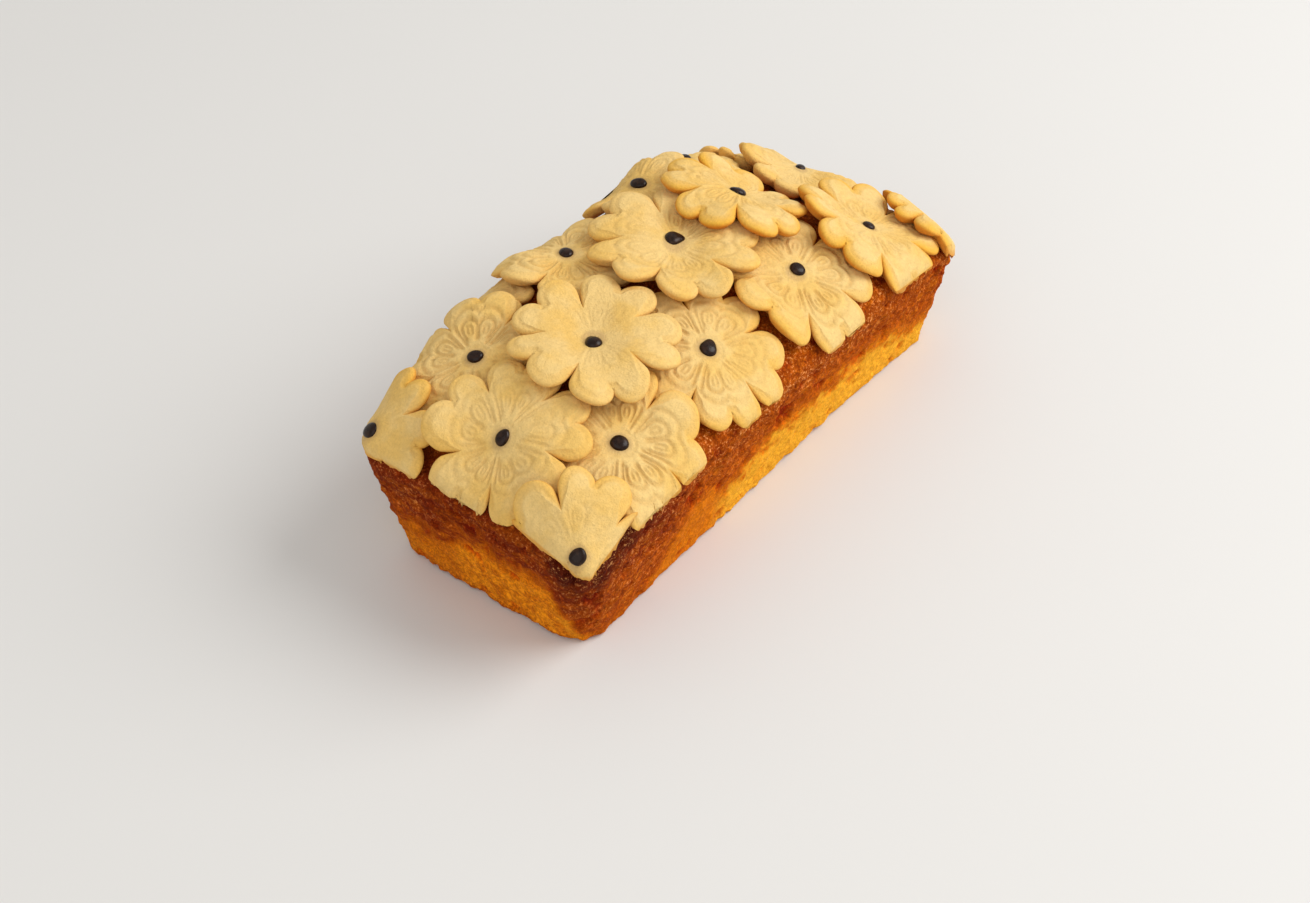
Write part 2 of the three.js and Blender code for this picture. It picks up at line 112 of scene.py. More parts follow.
PLACEMENTS = (
    Placement("01", -38.5, 45, 60, 17),
    Placement(
        "02", -16.7, -26.9, -49, 25.5, 1.05,
        stamp=Stamp.DEEP, bake=Bake.GOLDEN, tail=0.35, tail_turn=20,
    ),
    Placement("03", -61.3, -28.9, -35, 26.4, 1.05, stamp=Stamp.DEEP, bake=Bake.GOLDEN),
    Placement("04", -62.3, 25.3, 108, 24, 1, stamp=Stamp.DEEP),
    Placement("05", 29.2, -26.2, -22, 26.8, 1, 1.3, 0.4, stamp=Stamp.DEEP, bake=Bake.GOLDEN),
    Placement("06", -13.5, 30.5, 80, 24, 1, stamp=Stamp.DEEP),
    Placement("07", -94, 40.4, -15, 22, 1, stamp=Stamp.SMOOTH, bake=Bake.GOLDEN, pressed=True),
    Placement("08", -81.8, -1.6, 22, 26, 1.05, 0.5, -0.2),
    Placement("09", -96.6, -42, 24, 25, 0.87, stamp=Stamp.SMOOTH, bake=Bake.GOLDEN, pressed=True),
    Placement(
        "10", -40.3, -2.6, 17.5, 26.5, 1.3, -2, -1.6,
        stamp=Stamp.SMOOTH, tail=0.25, tail_turn=70,
    ),
    Placement("11", 55.7, 38.6, 60, 20, 0.9),
    Placement("12", 28.3, 35.5, 60, 21, 1),
    Placement("13", 7.8, 4.4, 21, 27.5, 1.25, 1.4, 1.9, tail=0.5, tail_turn=-40),
    Placement("14", 41.5, 5, -32, 24, 1, -1.2, -1, bake=Bake.AMBER, tail=0.4, tail_turn=140),
    Placement("15", 84.5, 39.3, 0, 16, pressed=True),
    Placement("16", 95.5, -7.5, 0, 14, pressed=True),
    Placement("17", 86.5, 13, 42, 23.5, 0.9, 1.5, 1, pressed=True),
    Placement("18", 69.1, -26.3, -24, 26, 0.9, bake=Bake.AMBER),
    Placement("19", 99, -32.7, 6, 20, stamp=Stamp.SMOOTH, bake=Bake.AMBER, pressed=True),
)


class Unevenness:
    """Smooth random unevenness between -1 and 1, the same on each run."""

    CELLS = 32

    def __init__(self, seed: int) -> None:
        """Fills the lattice.

        Args:
            seed: Number that picks the pattern.
        """
        self.lattice = np.random.default_rng(seed).uniform(-1, 1, (self.CELLS,) * 3)

    def at(self, x: np.ndarray, y: np.ndarray, z: np.ndarray, size: float) -> np.ndarray:
        """The unevenness at points.

        Args:
            x: Places along X.
            y: Places along Y.
            z: Places along Z.
            size: Width of a bump.

        Returns:
            Values between -1 and 1.
        """
        places = [np.asarray(along, float) / size for along in np.broadcast_arrays(x, y, z)]
        cells = [np.floor(place).astype(int) for place in places]
        shares = [place - cell for place, cell in zip(places, cells)]
        shares = [share * share * (3 - 2 * share) for share in shares]
        total = 0.0
        for corner in range(8):
            steps = [(corner >> axis) & 1 for axis in range(3)]
            index = tuple((cell + step) % self.CELLS for cell, step in zip(cells, steps))
            weight = 1.0
            for share, step in zip(shares, steps):
                weight = weight * (share if step else 1 - share)
            total = total + weight * self.lattice[index]
        return total

    def layered(
        self, x: np.ndarray, y: np.ndarray, z: np.ndarray, size: float, layers: int
    ) -> np.ndarray:
        """Unevenness of several sizes, each half as wide and high as the one before.

        Args:
            x: Places along X.
            y: Places along Y.
            z: Places along Z.
            size: Width of the widest bumps.
            layers: How many sizes are added.

        Returns:
            Values of about -1 to 1.
        """
        total = 0.0
        for layer in range(layers):
            total = total + self.at(x + 17.3 * layer, y, z, size / 2**layer) / 2**layer
        return total


def smooth_step(value: np.ndarray, low: float, high: float) -> np.ndarray:
    """A soft step.

    Args:
        value: Values to step.
        low: Where the step starts.
        high: Where the step ends.

    Returns:
        0 up to low, 1 from high on, and a smooth rise in between.
    """
    share = np.clip((np.asarray(value, float) - low) / (high - low), 0, 1)
    return share * share * (3 - 2 * share)


def line_profile(distance: np.ndarray, width: float) -> np.ndarray:
    """Depth of a pressed line, 1 in its middle."""
    return np.exp(-((distance / width) ** 2))


def edge_distance(
    x: np.ndarray, y: np.ndarray, half_length: float, half_width: float, corner: float
) -> np.ndarray:
    """Distance to a rounded rectangle's edge.

    Args:
        x: Places along X.
        y: Places along Y.
        half_length: Half the length of the rectangle.
        half_width: Half the width of the rectangle.
        corner: Radius of its corners.

    Returns:
        The distance, negative inside.
    """
    beyond_x = np.abs(x) - (half_length - corner)
    beyond_y = np.abs(y) - (half_width - corner)
    outside = np.hypot(np.maximum(beyond_x, 0), np.maximum(beyond_y, 0))
    return outside + np.minimum(np.maximum(beyond_x, beyond_y), 0) - corner


class HeightField:
    """A surface held as heights on a square grid of one millimetre."""

    HALF_LENGTH = 118
    HALF_WIDTH = 66
    BRIDGE_REACH = 24
    SMOOTHING_REACH = 3

    def __init__(self, values: np.ndarray) -> None:
        """Keeps the heights.

        Args:
            values: Heights, a row for each place along X.
        """
        self.values = values

    @classmethod
    def grid(cls) -> tuple[np.ndarray, np.ndarray]:
        """The places of the grid.

        Returns:
            The places along X and the places along Y.
        """
        along_x = np.arange(-cls.HALF_LENGTH, cls.HALF_LENGTH + 1, dtype=float)
        along_y = np.arange(-cls.HALF_WIDTH, cls.HALF_WIDTH + 1, dtype=float)
        return np.meshgrid(along_x, along_y, indexing="ij")

    def height(self, x: np.ndarray, y: np.ndarray) -> np.ndarray:
        """The height at points, in between the grid's.

        Args:
            x: Places along X.
            y: Places along Y.

        Returns:
            The heights.
        """
        columns, rows = self.values.shape
        u = np.clip(np.asarray(x, float) + self.HALF_LENGTH, 0, columns - SHORT_OF_LAST)
        v = np.clip(np.asarray(y, float) + self.HALF_WIDTH, 0, rows - SHORT_OF_LAST)
        i, j = np.floor(u).astype(int), np.floor(v).astype(int)
        s, t = u - i, v - j
        near = self.values[i, j] * (1 - t) + self.values[i, j + 1] * t
        far = self.values[i + 1, j] * (1 - t) + self.values[i + 1, j + 1] * t
        return near * (1 - s) + far * s

    def slope(self, x: np.ndarray, y: np.ndarray) -> tuple[np.ndarray, np.ndarray]:
        """Climb along X and along Y at points.

        Args:
            x: Places along X.
            y: Places along Y.

        Returns:
            The climb along X and the climb along Y.
        """
        along_x = (self.height(x + 1, y) - self.height(x - 1, y)) / 2
        along_y = (self.height(x, y + 1) - self.height(x, y - 1)) / 2
        return along_x, along_y

    @staticmethod
    def moved(values: np.ndarray, axis: int, reach: int) -> Iterator[tuple[int, np.ndarray]]:
        """The heights moved along one axis, by each whole number up to a reach.

        Args:
            values: The heights.
            axis: The axis, 0 or 1.
            reach: How far they move, back and on.

        Returns:
            Each move, from the furthest back on, and the heights moved by it.
        """
        edges = [(reach, reach) if side == axis else (0, 0) for side in (0, 1)]
        padded = np.pad(values, edges, mode="edge")
        for move in range(-reach, reach + 1):
            start = move + reach
            yield move, np.take(padded, np.arange(start, start + values.shape[axis]), axis=axis)

    def spread(self) -> "HeightField":
        """The highest of each place and its eight neighbours.

        Returns:
            The surface of those heights.
        """
        values = self.values
        for axis in (0, 1):
            values = np.maximum.reduce([moved for _, moved in self.moved(values, axis, 1)])
        return HeightField(values)

    def smooth(self, width: float) -> "HeightField":
        """Gaussian smoothing, along X and then along Y.

        Args:
            width: Standard deviation of the smoothing.

        Returns:
            The smoothed surface.
        """
        reach = math.ceil(self.SMOOTHING_REACH * width)
        weights = np.exp(-0.5 * (np.arange(-reach, reach + 1) / width) ** 2)
        weights /= weights.sum()
        values = self.values
        for axis in (0, 1):
            moves = self.moved(values, axis, reach)
            values = sum(weight * moved for weight, (_, moved) in zip(weights, moves))
        return HeightField(values)

    def bridged(self, radius: float) -> "HeightField":
        """The surface with its hollows bridged by arcs of a radius.

        Args:
            radius: Radius of the arcs at their lowest.

        Returns:
            The bridged surface, nowhere below this one.
        """
        values = self.values
        for sign in (1, -1):
            for axis in (0, 1):
                moves = self.moved(sign * values, axis, self.BRIDGE_REACH)
                arcs = [moved - move**2 / (2 * radius) for move, moved in moves]
                values = sign * np.maximum.reduce(arcs)
        return HeightField(values)


def rolled_rings(rings: int, steps: int) -> bmesh.types.BMesh:
    """A closed body of rings: a grid rolled up round the Z axis.

    Args:
        rings: How many rings, the first and last of which are single points.
        steps: How many vertices a ring has.

    Returns:
        The body, whose vertices have their ring's number as their Z.
    """
    body = bmesh.new()
    bmesh.ops.create_grid(body, x_segments=steps, y_segments=rings - 1, size=1)
    for vert in body.verts:
        turn = (vert.co.x + 1) * math.pi
        ring = round((vert.co.y + 1) / 2 * (rings - 1))
        reach = 0.0 if ring in (0, rings - 1) else 1.0
        vert.co = (reach * math.cos(turn), reach * math.sin(turn), ring)
    bmesh.ops.remove_doubles(body, verts=body.verts[:], dist=1e-5)
    return body


def ring_steps(body: bmesh.types.BMesh, steps: int) -> tuple[np.ndarray, np.ndarray]:
    """Which step and which ring each vertex of a rolled body is.

    Args:
        body: A body as rolled_rings makes it.
        steps: How many vertices a ring has.

    Returns:
        The steps and the rings, in the order of the vertices.
    """
    places = np.array([vert.co[:] for vert in body.verts])
    turns = np.arctan2(places[:, 1], places[:, 0]) * steps / (2 * math.pi)
    return np.round(turns).astype(int) % steps, np.round(places[:, 2]).astype(int)


def place_vertices(body: bmesh.types.BMesh, places: np.ndarray) -> None:
    """Moves the vertices of a body.

    Args:
        body: The body.
        places: A place in millimetres for each vertex.
    """
    for vert, place in zip(body.verts, (places * MILLIMETRE).tolist()):
        vert.co = place


def set_attribute(body: bmesh.types.BMesh, name: str, values: np.ndarray) -> None:
    """Gives the vertices of a body a number that its finish reads.

    Args:
        body: The body.
        name: Name of the attribute.
        values: A number for each vertex.
    """
    layer = body.verts.layers.float.new(name)
    for vert, value in zip(body.verts, np.asarray(values, float).tolist()):
        vert[layer] = value


def finished_piece(
    body: bmesh.types.BMesh, name: str, material: bpy.types.Material, sharp: float = 62
) -> bpy.types.Object:
    """A body as an object with its finish.

    Args:
        body: The body, which is freed.
        name: Name of the piece.
        material: Its finish.
        sharp: Angle in degrees above which an edge stays sharp.

    Returns:
        The object, at the origin.
    """
    bmesh.ops.recalc_face_normals(body, faces=body.faces[:])
    mesh = bpy.data.meshes.new(name)
    body.to_mesh(mesh)
    body.free()
    mesh.polygons.foreach_set("use_smooth", [True] * len(mesh.polygons))
    mesh.set_sharp_from_angle(angle=math.radians(sharp))
    mesh.materials.append(material)
    piece = bpy.data.objects.new(name, mesh)
    bpy.context.scene.collection.objects.link(piece)
    return piece


@dataclass(frozen=True)
class Signal:
    """A socket of a finish's nodes, with the arithmetic of Math nodes."""

    tree: "NodeBoard"
    socket: bpy.types.NodeSocket

    def _math(self, operation: str, first: object, second: object) -> "Signal":
        """One Math node."""
        return self.tree.node("ShaderNodeMath", {"operation": operation}, {0: first, 1: second})

    def __add__(self, other: object) -> "Signal":
        """Sum."""
        return self._math("ADD", self, other)

    __radd__ = __add__

    def __sub__(self, other: object) -> "Signal":
        """Difference."""
        return self._math("SUBTRACT", self, other)

    def __rsub__(self, other: object) -> "Signal":
        """Difference, reflected."""
        return self._math("SUBTRACT", other, self)

    def __mul__(self, other: object) -> "Signal":
        """Product."""
        return self._math("MULTIPLY", self, other)

    __rmul__ = __mul__

    def lesser(self, other: object) -> "Signal":
        """The lesser of two values."""
        return self._math("MINIMUM", self, other)

    def step(self, low: object, high: object) -> "Signal":
        """A soft step.

        Args:
            low: Where it starts, with 0.
            high: Where it ends, with 1.

        Returns:
            The step.
        """
        return self.tree.node(
            "ShaderNodeMapRange", {"interpolation_type": "SMOOTHSTEP"},
            {"Value": self, "From Min": low, "From Max": high, "To Min": 0.0, "To Max": 1.0},
        )


class NodeBoard:
    """The nodes of one finish."""

    def __init__(self, name: str) -> None:
        """Starts a material with a bare shader.

        Args:
            name: Name of the material.
        """
        self.material = bpy.data.materials.new(name)
        self.material.use_nodes = True
        self.nodes = self.material.node_tree.nodes
        self.links = self.material.node_tree.links
        self.shader = self.nodes["Principled BSDF"]

    def put(self, node: bpy.types.Node, key: object, value: object) -> None:
        """Sets or links one socket.

        Args:
            node: The node.
            key: Name or number of its socket.
            value: A number, a colour, or a signal to link.
        """
        if isinstance(value, Signal):
            self.links.new(value.socket, node.inputs[key])
        elif isinstance(value, tuple) and len(value) == 3 and node.inputs[key].type == "RGBA":
            node.inputs[key].default_value = (*value, 1.0)
        else:
            node.inputs[key].default_value = value

    def node(self, kind: str, settings: dict, sockets: dict, output: object = 0) -> Signal:
        """Adds one node.

        Args:
            kind: Type of the node.
            settings: Its settings, which are set first.
            sockets: A value or signal for each of its sockets.
            output: Name or number of the socket that is handed back.

        Returns:
            Its output.
        """
        node = self.nodes.new(kind)
        for name, value in settings.items():
            setattr(node, name, value)
        for key, value in sockets.items():
            self.put(node, key, value)
        return Signal(self, node.outputs[output])

    def place(self) -> Signal:
        """Object coordinates, in metres."""
        return self.node("ShaderNodeTexCoord", {}, {}, "Object")

    def axes(self) -> tuple[Signal, ...]:
        """The three parts of the object coordinates, in millimetres."""
        parts = self.node("ShaderNodeSeparateXYZ", {}, {0: self.place()}).socket.node.outputs
        return tuple(Signal(self, part) * METRE for part in parts)

    def noise(
        self, size: float, detail: float = 3.0, roughness: float = 0.55,
        stretch: tuple = (1.0, 1.0, 1.0),
    ) -> Signal:
        """Noise on object coordinates.

        Args:
            size: Width of a patch in millimetres.
            detail: How many finer sizes are added.
            roughness: How strong the finer ones are.
            stretch: How much closer the pattern is along each axis.

        Returns:
            Values round 0.5.
        """
        place = self.node("ShaderNodeMapping", {}, {"Vector": self.place(), "Scale": stretch})
        sockets = {
            "Vector": place, "Scale": METRE / size, "Detail": detail, "Roughness": roughness,
        }
        return self.node("ShaderNodeTexNoise", {}, sockets)

    def attribute(self, name: str) -> Signal:
        """A number that the mesh carries."""
        return self.node("ShaderNodeAttribute", {"attribute_name": name}, {}, "Fac")

    def mix(self, factor: object, first: object, second: object, blend: str = "MIX") -> Signal:
        """Mixes two colours.

        Args:
            factor: Share of the second.
            first: The first colour.
            second: The second colour.
            blend: How the second lies on the first.

        Returns:
            The mixed colour.
        """
        settings = {"data_type": "RGBA", "blend_type": blend, "clamp_factor": True}
        return self.node("ShaderNodeMix", settings, {0: factor, 6: first, 7: second}, 2)

    def layered(self, base: object, *layers: tuple) -> object:
        """Lays colours over one another.

        Args:
            base: The lowest colour.
            layers: The share and the colour of each layer, the lowest first.

        Returns:
            The colour that shows.
        """
        for share, colour in layers:
            base = self.mix(share, base, colour)
        return base

    def bump(
        self, height: Signal, depth: float, strength: float = 1.0, under: object = None
    ) -> Signal:
        """Relief from a height.

        Args:
            height: The height, from 0 to 1.
            depth: Its full depth in millimetres.
            strength: Share of the relief that is used.
            under: A bump that lies below this one.

        Returns:
            The normal.
        """
        sockets = {"Height": height, "Distance": depth * MILLIMETRE, "Strength": strength}
        if under is not None:
            sockets["Normal"] = under
        return self.node("ShaderNodeBump", {}, sockets, "Normal")

    def finish(self, **sockets: object) -> bpy.types.Material:
        """Sets the shader's sockets.

        Args:
            sockets: A value or signal for each, with _ for a space in its name.

        Returns:
            The material.
        """
        for name, value in sockets.items():
            self.put(self.shader, name.replace("_", " "), value)
        return self.material


@dataclass(frozen=True)
class BiscuitFinish:
    """Pale shortbread, golden at its rims, with painted shade that darkens its pressed lines."""

    pale: tuple = (0.79, 0.547, 0.208)
    warm: tuple = (0.78, 0.497, 0.140)
    golden: tuple = (0.80, 0.420, 0.040)
    amber: tuple = (0.62, 0.225, 0.020)
    # line is the colour of the painted shade in the pressed lines.
    line: tuple = (0.54, 0.300, 0.075)
    halo: tuple = (0.46, 0.280, 0.120)
    line_shade_share: float = 0.42
    halo_share: float = 0.5
    crumb_depth: float = 0.45
    grain_depth: float = 0.3

    def material(self, bake: Bake) -> bpy.types.Material:
        """Makes the finish.

        Args:
            bake: How far the cookie has browned.

        Returns:
            The material.
        """
        board = NodeBoard("biscuit_" + bake.name.lower())
        patches = board.noise(14.0)
        speckle = board.noise(1.1, 4.0, 0.7)
        grain = board.noise(0.6, 3.0, 0.7)
        crumb = board.noise(2.4, 3.0, 0.6)
        rim = board.attribute("rim") * (0.25 + patches * 0.6) * (0.4 + 1.2 * bake.value)
        side = board.attribute("side") * (0.14 + 0.75 * bake.value) * (0.5 + patches)
        # The pressed lines get painted shade: a darker colour where the stamp is deepest.
        colour = board.layered(
            self.pale,
            (patches.step(0.38, 0.66), self.warm),
            (rim.lesser(1.0), self.golden),
            (side.lesser(1.0), self.amber),
            (board.attribute("line") * self.line_shade_share, self.line),
            (board.attribute("halo") * self.halo_share, self.halo),
        )
        tone = 0.66 + speckle * 0.42 + grain * 0.26
        colour = board.mix(1.0, colour, tone, "MULTIPLY")
        relief = board.bump(crumb, self.crumb_depth, 0.7)
        relief = board.bump(grain, self.grain_depth, 0.8, relief)
        return board.finish(
            Base_Color=colour, Roughness=0.8, Normal=relief, Specular_IOR_Level=0.2
        )


class LoafBoard(NodeBoard):
    """The nodes of the loaf's finish, with the patterns and places that its layers share.

    Each place is 1 where its name says and 0 elsewhere, with a soft border. The end is
    the near one, the right side the long one that faces the camera.
    """

    def __init__(self, name: str, border: float) -> None:
        """Adds the patterns and the places.

        Args:
            name: Name of the material.
            border: Height of the border between crumb and crust, before it wanders.
        """
        super().__init__(name)
        self.x, self.y, self.z = self.axes()
        self.back = 0.0 - self.x
        self.patch = self.noise(4.5, 4.0, 0.65)
        self.mottle = self.noise(3.2, 4.0, 0.7)
        self.fine = self.noise(1.8, 4.0, 0.75).step(0.34, 0.66)
        self.grain = self.noise(0.9, 3.0, 0.8).step(0.32, 0.68)
        self.streaks = self.noise(5.0, 4.0, 0.7, (0.4, 0.4, 1.3)).step(0.38, 0.62)
        self.right = (0.0 - self.y).step(28.0, 38.0)
        self.end = self.back.step(84.0, 95.0) * (1.0 - self.right)
        self.near = self.back.step(40.0, 64.0) * self.right
        broad = self.noise(30.0)
        wave = self.noise(9.0, 4.0, 0.6, (0.45, 0.45, 1.0))
        coarse = (wave - 0.5) * 18.0 + (broad - 0.5) * 10.0
        self.ragged = coarse + (self.patch - 0.5) * 15.0 + (self.fine - 0.5) * 3.0
        middle = self.back.step(-5.0, 20.0) - self.back.step(26.0, 36.0)
        lower = self.x.step(42.0, 88.0) * 10.0 + middle * 5.0 - 1.5
        rise = self.end * (4.0 - 11.0 * self.y.step(0.0, 16.0))
        border = border + rise - self.right * lower - self.near * 24.0
        self.level = self.z + self.ragged - border


@dataclass(frozen=True)
class CrumbFinish:
    """Baked loaf: a brown crust above, yellow crumb below, and a thin brown foot, with painted
    shade and painted glints on the crust.
    """

    # deep is both the dark brown of the crust's mottling and the colour of its painted shade.
    deep: tuple = (0.105, 0.011, 0.0010)
    brown: tuple = (0.300, 0.036, 0.0012)
    crust: tuple = (0.520, 0.100, 0.0012)
    rust: tuple = (0.720, 0.190, 0.0030)
    golden: tuple = (0.940, 0.300, 0.0070)
    sponge: tuple = (1.000, 0.480, 0.0300)
    # The colour of the painted glints: small highlights painted on the crust.
    painted_glint: tuple = (0.860, 0.400, 0.130)
    pore: tuple = (0.56, 0.44, 0.34)
    grit: tuple = (1.34, 1.38, 1.42)
    border: float = 20.0
    patch_depth: float = 1.5
    fine_depth: float = 0.26
    grain_depth: float = 0.07

    def crumb(self, board: LoafBoard) -> Signal:
        """Colour of the yellow crumb, which is browner on the near end.

        Args:
            board: The nodes.

        Returns:
            The colour.
        """
        end, patch, right = board.end, board.patch, board.right
        return board.layered(
            self.sponge,
            (end * 0.95, self.golden),
            (board.back.step(20.0, 34.0) * right, self.rust),
            (patch.step(0.44, 0.70) * 0.3, self.golden),
            (end * patch.step(0.48, 0.62) * 0.65, self.crust),
            (end * board.y.step(4.0, 12.0) * 0.4, self.crust),
            ((0.12 + end * 0.5) * board.mottle.step(0.48, 0.64), self.rust),
        )

    def crusted(self, board: LoafBoard, crumb: Signal) -> Signal:
        """Lays the crust over the crumb, with painted shade near the top that is darkest towards
        the near corner, and painted glints.

        Args:
            board: The nodes.
            crumb: Colour of the crumb.

        Returns:
            The colour.
        """
        level, patch, mottle = board.level, board.patch, board.mottle
        z, right, end = board.z, board.right, board.end
        brown = end * 0.62 + board.near * (0.15 + 0.5 * z.step(14.0, 30.0)) + 0.14
        # Painted shade: the crust is painted darker near its top, under the cookies, with more of
        # it towards the near corner and on the end; low_corner darkens the crust lower down by the
        # near corner too.
        corner = board.back.step(45.0, 85.0) * right
        shade = (z + board.ragged * 0.6).step(22.0, 40.0) * (0.12 + 0.95 * corner + 0.2 * end)
        low_corner = board.back.step(70.0, 92.0) * right * z.step(6.0, 20.0) * 0.3
        shade = shade * (0.3 + patch * 1.4) + low_corner
        # Painted highlights: small glints painted on the crust, brightest near the top of the long
        # side, which faces the key lamp.
        glints = board.grain.step(0.62, 0.95) * mottle.step(0.56, 0.42)
        glints = glints * (0.25 + right * z.step(28.0, 40.0) * 0.4)
        return board.layered(
            crumb,
            (level.step(-4.5, 1.5), self.rust),
            (level.step(-1.0, 7.0), self.crust),
            (level.step(2.0, 7.0) * patch.step(0.50, 0.66) * 0.6, self.rust),
            (level.step(1.0, 8.0) * brown * (0.35 + board.streaks * 1.3), self.brown),
            (shade.lesser(1.0), self.deep),
            (level.step(5.0, 14.0) * mottle.step(0.54, 0.66) * 0.55, self.deep),
            (level.step(6.0, 14.0) * glints, self.painted_glint),
        )

    def footed(self, board: LoafBoard, colour: Signal) -> Signal:
        """Browns the foot, where the loaf stands.

        Args:
            board: The nodes.
            colour: Colour of the rest.

        Returns:
            The colour.
        """
        z, fine, grain = board.z, board.fine, board.grain
        low = (z + (board.patch - 0.5) * 6.0 + (fine - 0.5) * 2.0).step(5.0, 0.8)
        burnt = (z + fine * 2.0).step(2.8, 1.2) * grain.step(0.6, 0.9) * 0.5
        return board.layered(
            colour, (low * (0.1 + board.end * 0.75), self.crust), (burnt, self.brown)
        )

    def material(self) -> bpy.types.Material:
        """Makes the finish.

        Returns:
            The material.
        """
        board = LoafBoard("baked_crumb", self.border)
        fine, grain = board.fine, board.grain
        colour = self.footed(board, self.crusted(board, self.crumb(board)))
        tone = board.mix(fine * 0.55 + grain * 0.45, self.pore, self.grit)
        depth = 0.52 + board.end * 0.28 + board.level.step(-3.0, 3.0) * 0.5
        colour = board.mix(depth.lesser(1.0), colour, tone, "MULTIPLY")
        # Painted shade in the pits of the crust: the colour is darkened towards rust where the pits
        # are deepest.
        colour = board.mix(board.attribute("pit") * 0.6, colour, self.rust, "MULTIPLY")
        relief = board.bump(board.patch, self.patch_depth, 0.7)
        relief = board.bump(fine, self.fine_depth, 0.8, relief)
        relief = board.bump(grain, self.grain_depth, 0.8, relief)
        return board.finish(
            Base_Color=colour, Roughness=0.9, Normal=relief, Specular_IOR_Level=0.08
        )


@dataclass(frozen=True)
class ChocolateFinish:
    """Dark melted chocolate with a soft shine."""

    dark: tuple = (0.013, 0.0048, 0.0026)
    worn: tuple = (0.040, 0.016, 0.008)
    dapple_depth: float = 0.06

    def material(self) -> bpy.types.Material:
        """Makes the finish.

        Returns:
            The material.
        """
        board = NodeBoard("dark_chocolate")
        bloom = board.noise(1.8)
        colour = board.mix(bloom.step(0.45, 0.75), self.dark, self.worn)
        relief = board.bump(board.noise(0.5, 2.0), self.dapple_depth, 0.6)
        return board.finish(
            Base_Color=colour, Roughness=0.2 + bloom * 0.16, Normal=relief,
            Specular_IOR_Level=0.22,
        )


@dataclass(frozen=True)
class FloorFinish:
    """Plain pale floor."""

    colour: tuple = (0.72, 0.71, 0.69)
    patch: tuple = (0.68, 0.67, 0.66)

    def material(self) -> bpy.types.Material:
        """Makes the finish.

        Returns:
            The material.
        """
        board = NodeBoard("pale_floor")
        colour = board.mix(board.noise(60.0, 2.0) * 0.1, self.colour, self.patch)
        return board.finish(Base_Color=colour, Roughness=0.6)


